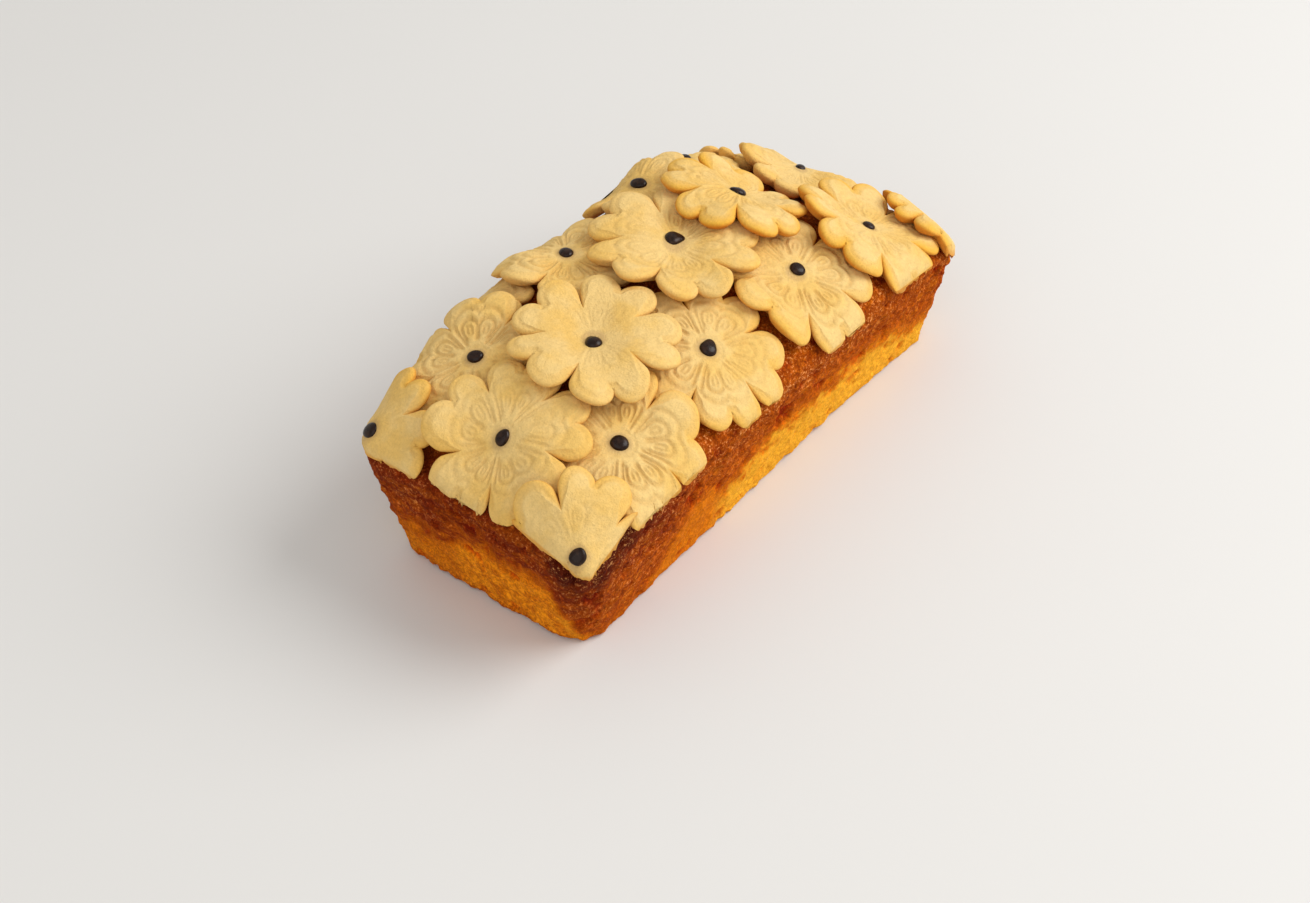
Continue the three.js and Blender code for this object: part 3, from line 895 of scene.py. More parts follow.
@dataclass
class Loaf:
    """The baked loaf: narrower at the table than at its brim, with a domed top."""

    base_half_length: float = 93.4
    base_half_width: float = 38.2
    base_corner: float = 11.8
    brim_half_length: float = 99.6
    brim_half_width: float = 44.6
    brim_corner: float = 11.0
    brim_height: float = 39.4
    bottom_round: float = 2.4
    side_bow: float = 1.8
    side_bow_start: float = 20.0
    shoulder_height: float = 5.0
    shoulder_width: float = 4.0
    dome_height: float = 13.4
    dome_peak: tuple = (-2.0, 2.0)
    dome_reach: tuple = (92.0, 85.0)
    dome_bends: tuple = (2.4, 2.2)
    lean_height: float = 14.0
    lean_peak: float = 12.0
    lean_reach: tuple = (102.0, 66.0)
    lean_bends: tuple = (3, 1.5)
    corner_drop: float = 3.5
    corner_bends: tuple = (12, 4)
    far_drop: float = 10.0
    far_drop_start: float = 60.0
    outside_shelf: float = 3.0
    outside_fall: float = 0.6
    steps: int = 900
    base_shares: tuple = (0.0, 0.35, 0.7, 0.9)
    bottom_turns: tuple = (0.0, 0.35, 0.7)
    bottom_lift: float = 1.6
    side_rings: int = 66
    side_start: float = 0.04
    inset_rings: int = 16
    inset_range: tuple = (0.35, 10.0)
    share_rings: int = 12
    share_start: float = 0.07
    ridge_share: float = 0.5
    lump_depth: float = 0.18
    crag_depth: float = 0.45
    grain_depth: float = 0.22
    pit_depth: float = 0.9
    foot_depth: float = 0.8
    relief_sink: float = 0.4
    box_margin: float = 0.02
    crumb: Unevenness = field(default_factory=lambda: Unevenness(11))

    def brim_distance(self, x: np.ndarray, y: np.ndarray) -> np.ndarray:
        """Distance to the brim's outline, negative inside it."""
        return edge_distance(x, y, self.brim_half_length, self.brim_half_width, self.brim_corner)

    def crust_height(self, x: np.ndarray, y: np.ndarray) -> np.ndarray:
        """Height of the baked top.

        Args:
            x: Places along X.
            y: Places along Y.

        Returns:
            The heights.
        """
        inward = np.clip(-self.brim_distance(x, y) / self.shoulder_width, 0, 1)
        shoulder = self.shoulder_height * np.sqrt(1 - (1 - inward) ** 2)
        half_length, half_width = self.brim_half_length, self.brim_half_width
        towards_left = np.clip((y + half_width) / (2 * half_width), 0, 1)
        lean_reach = np.where(x > self.lean_peak, self.lean_reach[1], self.lean_reach[0])
        along_lean = np.clip(np.abs(x - self.lean_peak) / lean_reach, 0, 1)
        lean_x, lean_y = self.lean_bends
        lean = self.lean_height * towards_left**lean_y * (1 - along_lean**lean_x)
        peak_x, peak_y = self.dome_peak
        dome_width = np.where(y > peak_y, half_width - peak_y, half_width + peak_y)
        across = np.clip(np.abs(y - peak_y) / dome_width, 0, 1)
        dome_reach = np.where(x > peak_x, self.dome_reach[1], self.dome_reach[0])
        along = np.clip(np.abs(x - peak_x) / dome_reach, 0, 1)
        dome_x, dome_y = self.dome_bends
        dome = self.dome_height * (1 - along**dome_x) * (1 - across**dome_y)
        corner_x = np.clip(np.abs(x) / half_length, 0, 1) ** self.corner_bends[0]
        corner_y = np.clip(np.abs(y) / half_width, 0, 1) ** self.corner_bends[1]
        beyond = (x - self.far_drop_start) / (half_length - self.far_drop_start)
        far_drop = self.far_drop * np.clip(beyond, 0, 1) ** 2
        drops = self.corner_drop * corner_x * corner_y + far_drop
        return self.brim_height + shoulder + lean + dome - drops

    def support(self) -> HeightField:
        """What holds the cookies up: the top and, outside the brim, the air they span.

        Returns:
            The ground of the first cookie.
        """
        x, y = HeightField.grid()
        distance = self.brim_distance(x, y)
        span = np.where(distance > 0, self.outside_shelf - self.outside_fall * distance, 0)
        return HeightField(self.crust_height(x, y) + span)

    def outline(self, half_length: float, half_width: float, corner: float) -> np.ndarray:
        """Points evenly spaced round a rounded rectangle, from the middle of one end.

        Args:
            half_length: Half the length of the rectangle.
            half_width: Half the width of the rectangle.
            corner: Radius of its corners.

        Returns:
            A point for each step.
        """
        straight_x, straight_y = half_length - corner, half_width - corner
        arc = corner * math.pi / 2
        lengths = [straight_y, *(arc, 2 * straight_x, arc, 2 * straight_y) * 2]
        lengths[-1] = straight_y
        starts = np.concatenate([[0.0], np.cumsum(lengths)])
        travelled = np.arange(self.steps) * starts[-1] / self.steps
        part = np.searchsorted(starts, travelled, side="right") - 1
        along = travelled - starts[part]
        points = np.zeros((self.steps, 2))
        straights = {
            0: ((half_length, 0), (0, 1)), 2: ((straight_x, half_width), (-1, 0)),
            4: ((-half_length, straight_y), (0, -1)), 6: ((-straight_x, -half_width), (1, 0)),
            8: ((half_length, -straight_y), (0, 1)),
        }
        for number, (start, heading) in straights.items():
            here = part == number
            points[here] = np.array(start) + along[here, None] * np.array(heading)
        centres = {1: (1, 1, 0), 3: (-1, 1, 1), 5: (-1, -1, 2), 7: (1, -1, 3)}
        for number, (side_x, side_y, quarter) in centres.items():
            here = part == number
            angle = quarter * math.pi / 2 + along[here] / corner
            points[here, 0] = side_x * straight_x + corner * np.cos(angle)
            points[here, 1] = side_y * straight_y + corner * np.sin(angle)
        return points

    def places(self) -> tuple[np.ndarray, np.ndarray]:
        """The loaf's points, ring by ring from the middle of its base.

        Returns:
            The place of each ring's points, and how much relief each ring has.
        """
        base = self.outline(self.base_half_length, self.base_half_width, self.base_corner)
        brim = self.outline(self.brim_half_length, self.brim_half_width, self.brim_corner)
        bow = self.side_bow * (1 - (base[:, 0] / self.base_half_length) ** 2)
        low = base.copy()
        low[:, 1] -= bow * np.clip(base[:, 1] / self.side_bow_start, -1, 1)
        reach = np.hypot(low[:, 0], low[:, 1])[:, None]
        # Each ring is its points, their height and how much relief it has.
        rings = [(low * share, 0.0, 0.0) for share in self.base_shares]
        for turn in self.bottom_turns:
            angle = turn * QUARTER
            point = low * (1 - self.bottom_round * (1 - math.sin(angle)) / reach)
            rings.append((point, self.bottom_lift * (1 - math.cos(angle)), 0.35 + 0.5 * turn))
        height = self.crust_height(*brim.T)
        for share in np.linspace(self.side_start, 1, self.side_rings):
            relief = 1.0 + 0.5 * smooth_step(share, 0.42, 0.62)
            rings.append((low + (brim - low) * share, share * height, relief))
        for inset in np.linspace(*self.inset_range, self.inset_rings):
            point = self.inset_point(brim, inset, 0.0)
            rings.append((point, self.crust_height(*point.T), 1.0))
        for share in np.linspace(self.share_start, 1, self.share_rings):
            point = self.inset_point(brim, self.inset_range[1], share)
            point[:, 0] *= share < 1
            rings.append((point, self.crust_height(*point.T), 0.8))
        places = [np.column_stack(np.broadcast_arrays(*point.T, z)) for point, z, _ in rings]
        return np.stack(places), np.array([[float(relief)] for *_, relief in rings])

    def inset_point(self, brim: np.ndarray, inset: float, share: float) -> np.ndarray:
        """Points of the top, inset from the brim, then a share of the way to the ridge.

        Args:
            brim: Points of the brim.
            inset: Distance inside the brim.
            share: Share of the way from there to the ridge.

        Returns:
            The points, a row for each.
        """
        limits = np.array([self.brim_half_length, self.brim_half_width]) - self.brim_corner
        anchor = np.clip(brim, -limits, limits)
        point = anchor + (brim - anchor) * (1 - inset / self.brim_corner)
        return point * [1 - self.ridge_share * share, 1 - share]

    def build(self, material: bpy.types.Material) -> bpy.types.Object:
        """Builds the loaf with its craggy crust.

        Args:
            material: Its finish.

        Returns:
            The piece.
        """
        rings, reliefs = self.places()
        ahead = np.roll(rings, -1, axis=1) - np.roll(rings, 1, axis=1)
        normal = np.cross(ahead, np.gradient(rings, axis=0))
        normal /= np.maximum(np.linalg.norm(normal, axis=2, keepdims=True), 1e-9)
        # What is added to a coordinate keeps one pattern apart from the next.
        x, y, z = np.moveaxis(rings, 2, 0)
        lumps = self.crumb.layered(x, y, z, 9.0, 2)
        crags = self.crumb.layered(x + 41, y, z, 3.6, 3)
        grains = self.crumb.layered(x, y, z + 13, 1.7, 2)
        pits = smooth_step(self.crumb.layered(x, y + 57, z, 4.2, 3), 0.32, 0.95)
        frayed = np.maximum(self.crumb.layered(x, y, z + 31, 3.2, 2), -0.3)
        foot = smooth_step(-z, -2.4, -0.4) * frayed
        push = self.lump_depth * lumps + self.crag_depth * crags + self.grain_depth * grains
        push += self.foot_depth * foot - self.pit_depth * pits - self.relief_sink
        places = rings + normal * (push * reliefs)[..., None]
        lowest, highest = np.array(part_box("loaf")) / MILLIMETRE
        places = np.clip(places, lowest + self.box_margin, highest - self.box_margin)
        body = rolled_rings(len(rings), self.steps)
        step, ring = ring_steps(body, self.steps)
        place_vertices(body, places[ring, step])
        # How deep each pit is, which the finish uses for painted shade in the pits.
        set_attribute(body, "pit", (pits * reliefs)[ring, step])
        piece = finished_piece(body, "baked_loaf", material, 75)
        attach(piece, "root")
        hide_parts("loaf")
        return piece


@dataclass(frozen=True)
class Room:
    """The upright walls that end the cookies, and how round their corners are."""

    far: float
    near: float
    left: float
    right: float
    far_left: float = 8.0
    near_left: float = 10.0
    near_right: float = 4.0
    far_right: float = 10.0
    rounding: float = 2.2
    corner_cuts: int = 7

    def corners(self) -> tuple[tuple[float, float, float], ...]:
        """Each corner's place and radius.

        Returns:
            Place along X, place along Y and radius, in turn from the far left corner.
        """
        return (
            (self.far, self.left, self.far_left),
            (-self.near, self.left, self.near_left),
            (-self.near, -self.right, self.near_right),
            (self.far, -self.right, self.far_right),
        )

    def depth(self, x: np.ndarray, y: np.ndarray) -> np.ndarray:
        """How far inside the walls points are.

        Args:
            x: Places along X.
            y: Places along Y.

        Returns:
            The distance, negative outside.
        """
        ahead = np.where(x > 0, self.far - x, self.near + x)
        aside = np.where(y > 0, self.left - y, self.right + y)
        inside = np.minimum(ahead, aside)
        for corner_x, corner_y, radius in self.corners():
            side_x, side_y = math.copysign(1, corner_x), math.copysign(1, corner_y)
            beyond_x = (x - corner_x) * side_x + radius
            beyond_y = (y - corner_y) * side_y + radius
            rounded = radius - np.hypot(beyond_x, beyond_y)
            inside = np.where((beyond_x > 0) & (beyond_y > 0), rounded, inside)
        return inside

    def sag(self, x: np.ndarray, y: np.ndarray) -> np.ndarray:
        """How far a cookie's top is rounded off near the walls.

        Args:
            x: Places along X.
            y: Places along Y.

        Returns:
            How much lower it lies there.
        """
        near = np.clip(1 - self.depth(x, y) / self.rounding, 0, 1)
        return self.rounding * (1 - np.sqrt(1 - near**2))

    def planes(self) -> Iterator[tuple[Vector, Vector]]:
        """The planes that the walls are made of.

        Returns:
            A point of each plane and the direction it faces.
        """
        yield Vector((self.far, 0, 0)), Vector((1, 0, 0))
        yield Vector((-self.near, 0, 0)), Vector((-1, 0, 0))
        yield Vector((0, self.left, 0)), Vector((0, 1, 0))
        yield Vector((0, -self.right, 0)), Vector((0, -1, 0))
        for quarter, (x, y, radius) in enumerate(self.corners()):
            centre = Vector((x - math.copysign(radius, x), y - math.copysign(radius, y), 0))
            for part in range(1, self.corner_cuts + 1):
                angle = (quarter + part / (self.corner_cuts + 1)) * QUARTER
                heading = Vector((math.cos(angle), math.sin(angle), 0))
                yield centre + heading * radius, heading

    def trim(self, body: bmesh.types.BMesh) -> None:
        """Cuts off what there is no room for.

        Args:
            body: The body to cut, in metres.
        """
        places = np.array([vert.co[:] for vert in body.verts])
        for point, heading in self.planes():
            point = point * MILLIMETRE
            if ((places - np.array(point)) @ np.array(heading)).max() <= 1e-7:
                continue
            everything = body.verts[:] + body.edges[:] + body.faces[:]
            cut = bmesh.ops.bisect_plane(
                body, geom=everything, dist=1e-8, plane_co=point, plane_no=heading, clear_outer=True
            )
            rims = [part for part in cut["geom_cut"] if isinstance(part, bmesh.types.BMEdge)]
            bmesh.ops.holes_fill(body, edges=rims, sides=0)


@dataclass
class FlowerCookie:
    """A flower of five heart petals, draped over what lies below it.

    Its rings run from the middle of its underside, out round the rim and back to the
    middle of its top. The insets say how far inside the outline the rings of the rim
    lie: down to 0 they belong to the underside and the side, and from there to the top.
    """

    placement: Placement
    ground: HeightField
    room: Room
    thickness: float = 4.3
    lobe_radius: float = 0.245
    lobe_centre: float = 0.755
    lobe_angle: float = math.radians(16.5)
    least_lobe: float = 0.15
    gap_reach: float = 0.6
    gap_rounding: float = 0.5
    least_gap: float = 0.02
    dip_rounding: float = 1.15
    clearance: float = 0.5
    stiffness: float = 26.0
    softness: float = 2.0
    settling: float = 0.75
    settled_height: float = 1.6
    rim_width: float = 2.4
    rim_bend: float = 2.2
    cover_edge: float = 0.3
    edge_rounding: float = 1.5
    edge_level: float = 0.38
    rim_drop: float = 0.68
    rim_reach: tuple = (0.5, 3.4)
    top_sink: float = 0.48
    stamp_depth: float = 0.8
    crumbling: float = 1.1
    cut_zone: tuple = (-0.5, -0.02)
    cut_rise: float = 1.0
    droop: float = 1.6
    droop_reach: float = 8.0
    centring_rounds: int = 3
    steps_per_petal: int = 72
    gap_step: float = 0.56
    stride: float = 0.5
    top_spacing: float = 0.5
    underside_rings: int = 2
    insets: tuple = (2.2, 1.2, 0.4, 0.0, 0.04, 0.12, 0.25, 0.42, 0.65, 0.95, 1.3, 1.7, 2.1, 2.6)
    edge_lifts: tuple = (0.0, 0.45, 1.2)
    side_fade: tuple = (0.75, 0.45, 0.2)
    deep_inside: float = 9.0
    golden_reach: float = 3.6
    halo_reach: tuple = (2.8, 4.1)

    def __post_init__(self) -> None:
        """Drapes the cookie: finds its bed and where its underside's middle lies."""
        self.bed = self.drape()
        self.radius = self.placement.radius
        self.turn = math.radians(self.placement.turn)
        self.dough = Unevenness(100 + int(self.placement.label))
        self.x, self.y = float(self.placement.x), float(self.placement.y)
        for _ in range(self.centring_rounds):
            middle = self.lifted(self.x, self.y, self.thickness)
            self.x += self.placement.x - float(middle[0])
            self.y += self.placement.y - float(middle[1])

    def drape(self) -> HeightField:
        """The surface that the underside follows."""
        return self.ground.bridged(self.stiffness).spread().smooth(self.softness)

    def lifted(self, x: np.ndarray, y: np.ndarray, lift: np.ndarray) -> np.ndarray:
        """Points a height above the bed, square to it.

        Args:
            x: Places along X.
            y: Places along Y.
            lift: Heights above the underside.

        Returns:
            The places.
        """
        slope_x, slope_y = self.bed.slope(x, y)
        scale = (self.clearance + lift) / np.sqrt(1 + slope_x**2 + slope_y**2)
        place_x, place_y = x - slope_x * scale, y - slope_y * scale
        place_z = self.bed.height(x, y) + scale - self.hang(place_x, place_y)
        return np.stack(np.broadcast_arrays(place_x, place_y, place_z), axis=-1)

    def hang(self, x: np.ndarray, y: np.ndarray) -> np.ndarray:
        """How far the cookie droops towards the edge of the loaf.

        Args:
            x: Places along X.
            y: Places along Y.

        Returns:
            How much lower it lies there.
        """
        return self.droop * (1 - smooth_step(self.room.depth(x, y), 0.0, self.droop_reach))

    @staticmethod
    def aside(angle: np.ndarray) -> np.ndarray:
        """Angle from the middle of the nearest petal."""
        return np.abs(np.mod(angle + HALF_PETAL, 2 * HALF_PETAL) - HALF_PETAL)

    def flower_radius(self, angle: np.ndarray, inset: float) -> np.ndarray:
        """The outline as a radius at an angle from a petal's middle.

        Args:
            angle: Angles in radians.
            inset: How far inside the outline.

        Returns:
            The radii.
        """
        radius = self.radius
        aside = self.aside(angle)
        lobe = max(self.lobe_radius * radius - inset, self.least_lobe)
        centre = self.lobe_centre * radius
        spread = math.asin(min(lobe / centre, 1))
        tangent = math.sqrt(centre**2 - lobe**2)
        gap = max(self.gap_reach * radius - self.gap_rounding * inset, self.least_gap * radius)
        share = (HALF_PETAL - aside) / (HALF_PETAL - self.lobe_angle - spread)
        in_gap = gap + (tangent - gap) * share
        sine, cosine = math.sin(self.lobe_angle), math.cos(self.lobe_angle)
        notch = math.sqrt(self.lobe_radius**2 - (self.lobe_centre * sine) ** 2)
        dip = (self.lobe_centre * cosine + notch) * radius - self.dip_rounding * inset
        in_dip = dip + (tangent - dip) * aside / (self.lobe_angle - spread)
        off = aside - self.lobe_angle
        half_chord = np.sqrt(np.maximum(lobe**2 - (centre * np.sin(off)) ** 2, 0))
        on_lobe = centre * np.cos(off) + half_chord
        outline = np.where(aside > self.lobe_angle + spread, in_gap, on_lobe)
        return np.where(aside < self.lobe_angle - spread, in_dip, outline)

    def angles(self) -> np.ndarray:
        """Angles of the steps, closer together by the gaps between two petals.

        Returns:
            The angles in radians, from the middle of a petal.
        """
        half = math.degrees(HALF_PETAL)
        steps = np.linspace(0, half - self.gap_step, self.steps_per_petal // 2)
        petal = np.concatenate([steps, [half], 2 * half - steps[:0:-1]])
        return np.radians(np.concatenate([petal + 2 * half * k for k in range(PETALS)]))

    def reach(self, headings: np.ndarray, lengths: np.ndarray) -> np.ndarray:
        """Distance over the table that lengths along the dough cover.

        Args:
            headings: Directions from the middle.
            lengths: Lengths along the dough, a row for each direction.

        Returns:
            The distances, a row for each direction.
        """
        count = math.ceil(float(lengths.max()) / self.stride) + 2
        covered = np.zeros((len(headings), count))
        for k in range(count - 1):
            x = self.x + covered[:, k] * np.cos(headings)
            y = self.y + covered[:, k] * np.sin(headings)
            slope_x, slope_y = self.bed.slope(x, y)
            climb = slope_x * np.cos(headings) + slope_y * np.sin(headings)
            covered[:, k + 1] = covered[:, k] + self.stride / np.hypot(1, climb)
        stride = np.clip(lengths / self.stride, 0, count - SHORT_OF_LAST)
        low = np.floor(stride).astype(int)
        row = np.arange(len(headings))[:, None]
        share = stride - low
        return covered[row, low] * (1 - share) + covered[row, low + 1] * share

    def draped(
        self, headings: np.ndarray, lengths: np.ndarray, lift: np.ndarray
    ) -> np.ndarray:
        """Points at lengths along the dough, lifted off the bed.

        Args:
            headings: A direction for each row.
            lengths: Lengths along the dough.
            lift: Heights above the underside.

        Returns:
            The places.
        """
        reach = self.reach(headings, lengths)
        x = self.x + reach * np.cos(headings)[:, None]
        y = self.y + reach * np.sin(headings)[:, None]
        return self.lifted(x, y, lift)

    def cover(self) -> HeightField:
        """The ground with this cookie's top added to it.

        Returns:
            The ground of the cookie that is laid next.
        """
        count = 180
        headings = np.arange(count) * 2 * math.pi / count
        lengths = self.flower_radius(headings - self.turn, 0.0)
        reaches = self.reach(headings, lengths[:, None])[:, 0]
        x, y = HeightField.grid()
        distance = np.hypot(x - self.x, y - self.y)
        turns = np.mod(np.arctan2(y - self.y, x - self.x), 2 * math.pi)
        rank = turns * count / (2 * math.pi)
        first = np.floor(rank).astype(int)
        share = rank - first
        reach = reaches[first % count] * (1 - share) + reaches[(first + 1) % count] * share
        outward = np.clip(1 - (reach - distance) / self.rim_width, 0, 1)
        rounding = np.sqrt(1 - outward**self.rim_bend)
        slope_x, slope_y = self.bed.slope(x, y)
        steepness = np.sqrt(1 + slope_x**2 + slope_y**2)
        height = self.thickness * (self.cover_edge + (1 - self.cover_edge) * rounding)
        top = self.bed.values + self.clearance + height * steepness
        inside = (distance <= reach) & (distance <= 1.1 * self.radius)
        higher = np.maximum(self.ground.values, top)
        return HeightField(np.where(inside, higher, self.ground.values))

    def pattern(self, angle: np.ndarray, length: np.ndarray) -> np.ndarray:
        """Depth of the pressed lines, whose places are shares of the radius.

        Args:
            angle: Angles from a petal's middle.
            length: Lengths from the cookie's middle.

        Returns:
            The depth, from 0 to 1.
        """
        radius = self.radius
        aside = self.aside(angle)
        # A vein on each side of a gap.
        along, across = length * np.cos(HALF_PETAL - aside), length * np.sin(HALF_PETAL - aside)
        share = along / radius
        window = smooth_step(share, 0.19, 0.27) * (1 - smooth_step(share, 0.54, 0.62))
        veins = line_profile(across - (0.022 * radius + 0.05 * along), 0.6) * window
        # A long loop with a dimple in it on each side of a petal's middle.
        lean = math.radians(12.5)
        along, across = length * np.cos(aside - lean), length * np.sin(aside - lean)
        share = along / radius
        start = smooth_step(share, 0.24, 0.32)
        width = radius * (0.055 + 0.04 * smooth_step(share, 0.26, 0.48))
        beyond = np.hypot(np.maximum(along - 0.475 * radius, 0), across)
        loops = line_profile(beyond - width, 0.62) * start
        short = np.maximum(np.maximum(0.40 * radius - along, along - 0.46 * radius), 0)
        dimples = line_profile(np.hypot(short, across) - 0.028 * radius, 0.55)
        # A heart that follows the two lobes, and a ring round the middle.
        along, across = length * np.cos(aside), length * np.sin(aside)
        lobe = np.hypot(along - 0.50 * radius, across - 0.125 * radius)
        outer = smooth_step(length / radius, 0.50, 0.6)
        hearts = line_profile(lobe - 0.185 * radius, 0.7) * outer
        disc = line_profile(length - 0.17 * radius, 0.5)
        lines = [veins, loops, 0.7 * dimples, 0.8 * hearts, 0.35 * disc]
        return np.clip(np.maximum.reduce(lines), 0, 1)

    def layout(self, angles: np.ndarray) -> tuple[np.ndarray, np.ndarray, np.ndarray]:
        """Where the rings lie on the dough, a column for each.

        Args:
            angles: Angles of the steps.

        Returns:
            Lengths from the middle, the inset that each ring stands for, and distances
            inside the outline.
        """
        rims = [self.flower_radius(angles, inset) for inset in self.insets]
        inner = rims[-1]
        count = max(int(0.8 * self.radius / self.top_spacing), 12)
        shares = np.linspace(1, 0, count)[1:]
        under = [np.zeros_like(inner), 0.5 * inner]
        lengths = np.stack(under + rims + [share * inner for share in shares], axis=1)
        inset = np.full(lengths.shape, self.deep_inside)
        rim_end = self.underside_rings + len(self.insets)
        inset[:, self.underside_rings : rim_end] = self.insets
        from_rim = inset.copy()
        from_rim[:, rim_end:] = self.insets[-1] + (1 - shares) * inner[:, None]
        return lengths, inset, from_rim

    def profile(self, inset: np.ndarray, from_rim: np.ndarray) -> tuple[np.ndarray, np.ndarray]:
        """Heights of the rings, before relief.

        Args:
            inset: The inset that each ring stands for.
            from_rim: Distances inside the outline.

        Returns:
            Heights above the underside, and how far each point belongs to the top.
        """
        outward = np.clip(1 - inset / self.edge_rounding, 0, 1)
        rounding = np.sqrt(1 - outward**self.rim_bend)
        bevel = self.rim_drop * (1 - smooth_step(from_rim, *self.rim_reach))
        lift = self.thickness * (self.edge_level + (1 - self.edge_level) * rounding)
        lift -= bevel * rounding
        lift[:, : self.underside_rings] = -self.settling
        for ring, height in enumerate(self.edge_lifts, self.underside_rings):
            lift[:, ring] = height - self.settling * (1 - height / self.settled_height)
        on_top = rounding.copy()
        on_top[:, : self.rim_ring()] = 0
        return lift, on_top

    def rim_ring(self) -> int:
        """Number of the ring on the outline."""
        return self.underside_rings + self.insets.index(0.0)

    def dress(
        self, length: np.ndarray, inset: np.ndarray, on_top: np.ndarray, pressed: np.ndarray
    ) -> dict[str, np.ndarray]:
        """What the finish reads about the rings.

        Args:
            length: Lengths from the middle.
            inset: The inset that each ring stands for.
            on_top: How far each point belongs to the top.
            pressed: Depth of the pressed lines.

        Returns:
            The values of each attribute.
        """
        rim = np.clip(1 - inset / self.golden_reach, 0, 1) ** 0.9
        rim[:, : self.underside_rings] = 1
        side = np.zeros_like(rim)
        first = self.rim_ring() + 1
        side[:, :first] = 1
        side[:, first : first + len(self.side_fade)] = self.side_fade
        drop = self.placement.drop
        near, far = self.halo_reach
        halo = (1 - smooth_step(length, near * drop, far * drop + 0.01)) * on_top * (drop > 0)
        return {"rim": rim, "side": side, "line": pressed, "halo": halo}

    def build(self, material: bpy.types.Material) -> bpy.types.Object:
        """Builds the cookie.

        Args:
            material: Its finish.

        Returns:
            The piece.
        """
        angles = self.angles()
        steps = len(angles)
        headings = angles + self.turn
        length, inset, from_rim = self.layout(angles)
        lift, on_top = self.profile(inset, from_rim)
        # What is added to a coordinate keeps one pattern apart from the next.
        flat = self.draped(headings, length, np.full_like(length, self.thickness))
        x, y, z = np.moveaxis(flat, 2, 0)
        wear = np.clip(0.78 + 0.45 * self.dough.at(x, y, z, 9.0), 0.4, 1)
        pressed = self.pattern(angles[:, None], length) * wear * self.placement.stamp.value
        rim_line = 0.3 * line_profile(inset - 2.0, 0.7) * wear
        pressed = np.maximum(pressed, rim_line) * on_top
        swell = 0.22 * self.dough.layered(x, y, z, 12.0, 2)
        swell += 0.08 * self.dough.at(x, y + 31, z, 2.4)
        lift = lift + on_top * (swell - self.top_sink) - self.stamp_depth * pressed
        wobble = 0.22 * self.dough.layered(x, y + 77, z, 8.0, 3)
        outline = self.flower_radius(angles, 0.0)[:, None]
        length = np.maximum(length + wobble * smooth_step(length / outline, 0.5, 0.95), 0)
        places = self.draped(headings, length, lift)
        places[..., 2] -= self.room.sag(places[..., 0], places[..., 1]) * on_top
        body = rolled_rings(length.shape[1], steps)
        step, ring = ring_steps(body, steps)
        place_vertices(body, places[step, ring])
        for name, values in self.dress(length, inset, on_top, pressed).items():
            set_attribute(body, name, values[step, ring])
        self.room.trim(body)
        self.crumble(body)
        piece = finished_piece(body, "flower_cookie_" + self.placement.label, material)
        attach(piece, "root")
        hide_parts("cookie_" + self.placement.label)
        return piece

    def crumble(self, body: bmesh.types.BMesh) -> None:
        """Makes the trimmed edges thin and ragged.

        Args:
            body: The trimmed cookie, in metres.
        """
        places = np.array([vert.co[:] for vert in body.verts]) / MILLIMETRE
        x, y, z = places.T
        cut = smooth_step(-self.room.depth(x, y), *self.cut_zone)
        crumbs = 0.25 + 0.55 * self.dough.layered(x, y, z + 19, 2.6, 3)
        amount = cut * np.clip(crumbs, 0, self.crumbling)
        share = amount / np.maximum(np.hypot(self.x - x, self.y - y), 1)
        x, y = x + (self.x - x) * share, y + (self.y - y) * share
        lowest = self.bed.height(x, y) + self.clearance - self.hang(x, y) + self.cut_rise
        z = z + cut * np.maximum(lowest - z, 0)
        place_vertices(body, np.column_stack([x, y, z]))


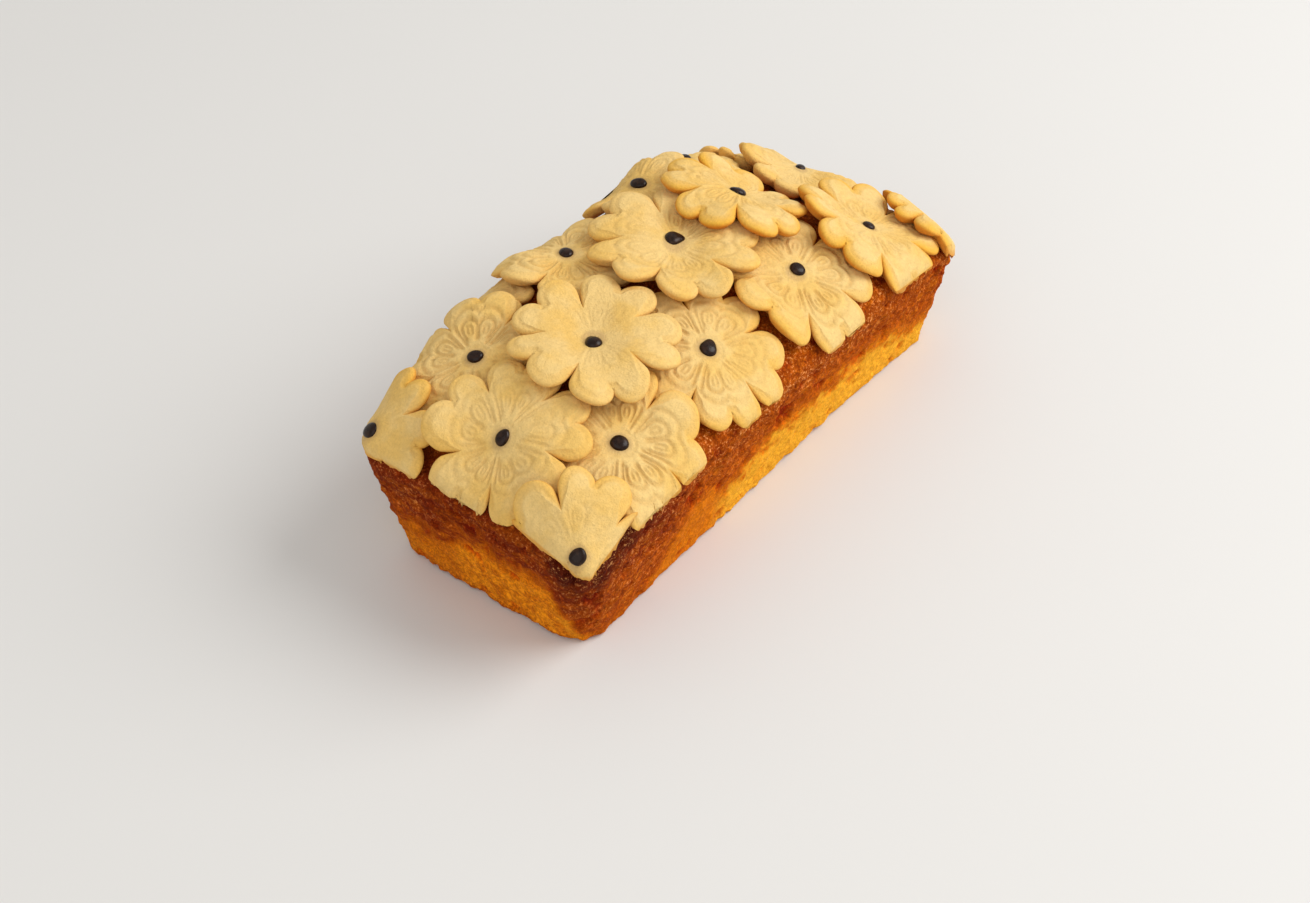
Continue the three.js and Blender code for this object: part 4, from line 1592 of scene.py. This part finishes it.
@dataclass
class ChocolateDrop:
    """A drop of melted chocolate that has set on a cookie's middle."""

    cookie: FlowerCookie
    radius: float = 2.5
    height: float = 1.4
    sunk: float = 0.55
    steps: int = 48
    rings: int = 16
    foot_share: float = 0.82
    widest_share: float = 0.97
    cap_bends: tuple = (1.1, 0.72)
    unevenness: float = 0.05
    tail_bend: int = 7
    tail_droop: float = 0.35

    def profile(self) -> tuple[np.ndarray, np.ndarray]:
        """How far out and how high each ring is, as shares.

        Returns:
            Shares of the radius and shares of the height.
        """
        angle = np.linspace(0, 1, self.rings - 1)[1:] ** self.cap_bends[0] * math.pi / 2
        out = np.concatenate([[0.0, self.foot_share], np.cos(angle) ** self.cap_bends[1]])
        out[2] = max(out[2], self.widest_share)
        out[-1] = 0.0
        return out, np.concatenate([[0.0, 0.0], np.sin(angle)])

    def build(self, material: bpy.types.Material) -> bpy.types.Object:
        """Builds the drop.

        Args:
            material: Its finish.

        Returns:
            The piece.
        """
        placement = self.cookie.placement
        radius, height = self.radius * placement.drop, self.height * placement.drop
        out, up = self.profile()
        turns = np.arange(self.steps) * 2 * math.pi / self.steps
        ring_x, ring_y = 3 * np.cos(turns), 3 * np.sin(turns)
        lumps = self.cookie.dough.at(ring_x, ring_y, np.full_like(turns, 5.0), 2.5)
        towards = np.maximum(np.cos(turns - math.radians(placement.tail_turn)), 0)
        tail = 1 + placement.tail * towards**self.tail_bend
        reach = radius * out * (1 + self.unevenness * lumps)[:, None] * tail[:, None]
        droop = self.tail_droop * placement.tail * (towards**5)[:, None] * (out > 0.3)
        lift = self.cookie.thickness - self.sunk + height * up * (1 - droop)
        along_x = reach * np.cos(turns)[:, None] + placement.drop_x
        along_y = reach * np.sin(turns)[:, None] + placement.drop_y
        heading = np.arctan2(along_y, along_x)
        length = np.hypot(along_x, along_y)
        columns = [
            self.cookie.draped(heading[:, ring], length[:, [ring]], lift[:, [ring]])
            for ring in range(len(out))
        ]
        places = np.concatenate(columns, axis=1)
        body = rolled_rings(len(out), self.steps)
        step, ring = ring_steps(body, self.steps)
        place_vertices(body, places[step, ring])
        piece = finished_piece(body, "chocolate_drop_" + placement.label, material)
        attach(piece, "root")
        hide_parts("chocolate_" + placement.label)
        return piece


@dataclass(frozen=True)
class Studio:
    """A plain pale floor and soft light."""

    floor_half: float = 2.5
    key_from: tuple = (0.72, -0.74, 0.84)
    lamp_distance: float = 1.6
    key_size: float = 1.3
    key_power: float = 21.0
    fill_from: tuple = (-0.9, -0.35, 0.75)
    fill_size: float = 1.82
    fill_power: float = 5.5
    sky: float = 0.6
    sky_colour: tuple = (1.0, 0.98, 0.95, 1.0)

    def build(self) -> None:
        """Makes the floor, the lights and the sky."""
        body = bmesh.new()
        bmesh.ops.create_grid(body, x_segments=2, y_segments=2, size=self.floor_half)
        floor = finished_piece(body, "pale_floor", FloorFinish().material())
        self.lamp("key_light", self.key_from, self.key_size, self.key_power)
        self.lamp("fill_light", self.fill_from, self.fill_size, self.fill_power)
        world = bpy.data.worlds.new("studio_sky")
        world.use_nodes = True
        background = world.node_tree.nodes["Background"]
        background.inputs["Color"].default_value = self.sky_colour
        background.inputs["Strength"].default_value = self.sky
        bpy.context.scene.world = world

    def lamp(self, name: str, direction: tuple, size: float, power: float) -> None:
        """Adds one soft lamp that faces the cake.

        Args:
            name: Name of the lamp.
            direction: Where it stands, seen from the cake.
            size: Its width in metres.
            power: Its power in watts.
        """
        light = bpy.data.lights.new(name, "AREA")
        light.shape = "DISK"
        light.size = size
        light.energy = power
        lamp = bpy.data.objects.new(name, light)
        bpy.context.scene.collection.objects.link(lamp)
        place = Vector(direction).normalized() * self.lamp_distance
        lamp.location = place
        lamp.rotation_euler = place.to_track_quat("Z", "Y").to_euler()


@dataclass(frozen=True)
class PhotoCamera:
    """The camera, at the photograph's viewing angle."""

    place: tuple = (-405.9, -333.9, 472.3)
    azimuth: float = -49.73
    elevation: float = 42.44
    roll: float = -2.77
    focal_pixels: float = 2166.55
    image_width: int = 1310
    sensor: float = 36.0

    def build(self) -> None:
        """Makes the camera."""
        data = bpy.data.cameras.new("photo_camera")
        data.sensor_fit = "HORIZONTAL"
        data.sensor_width = self.sensor
        data.lens = self.focal_pixels / self.image_width * self.sensor
        data.clip_start = 0.01
        camera = bpy.data.objects.new("photo_camera", data)
        bpy.context.scene.collection.objects.link(camera)
        turned = (
            Matrix.Rotation(math.radians(self.azimuth), 4, "Z")
            @ Matrix.Rotation(math.radians(90 - self.elevation), 4, "X")
            @ Matrix.Rotation(math.radians(self.roll), 4, "Z")
        )
        camera.matrix_world = Matrix.Translation(Vector(self.place) * MILLIMETRE) @ turned
        bpy.context.scene.camera = camera
        bpy.context.scene.view_settings.view_transform = "Standard"


def report(piece: bpy.types.Object) -> None:
    """Logs a piece and how many faces it has."""
    LOG.info("%s: %d faces", piece.name, len(piece.data.polygons))


def build_cake() -> None:
    """Builds the loaf, then the cookies one on another, each with its drop."""
    loaf = Loaf()
    report(loaf.build(CrumbFinish().material()))
    biscuits = {bake: BiscuitFinish().material(bake) for bake in Bake}
    chocolate = ChocolateFinish().material()
    pressed = Room(far=97.3, near=98.8, left=45.5, right=46.5)
    loose = Room(far=98.0, near=98.8, left=46.4, right=46.6)
    ground = loaf.support()
    for placement in PLACEMENTS:
        cookie = FlowerCookie(placement, ground, pressed if placement.pressed else loose)
        report(cookie.build(biscuits[placement.bake]))
        if placement.drop > 0:
            report(ChocolateDrop(cookie).build(chocolate))
        ground = cookie.cover()


def main() -> None:
    """Loads the frame and builds the cake, the studio and the camera."""
    logging.basicConfig(level=logging.INFO, format="%(message)s")
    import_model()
    PhotoCamera().build()
    Studio().build()
    build_cake()


if __name__ == "__main__":
    main()
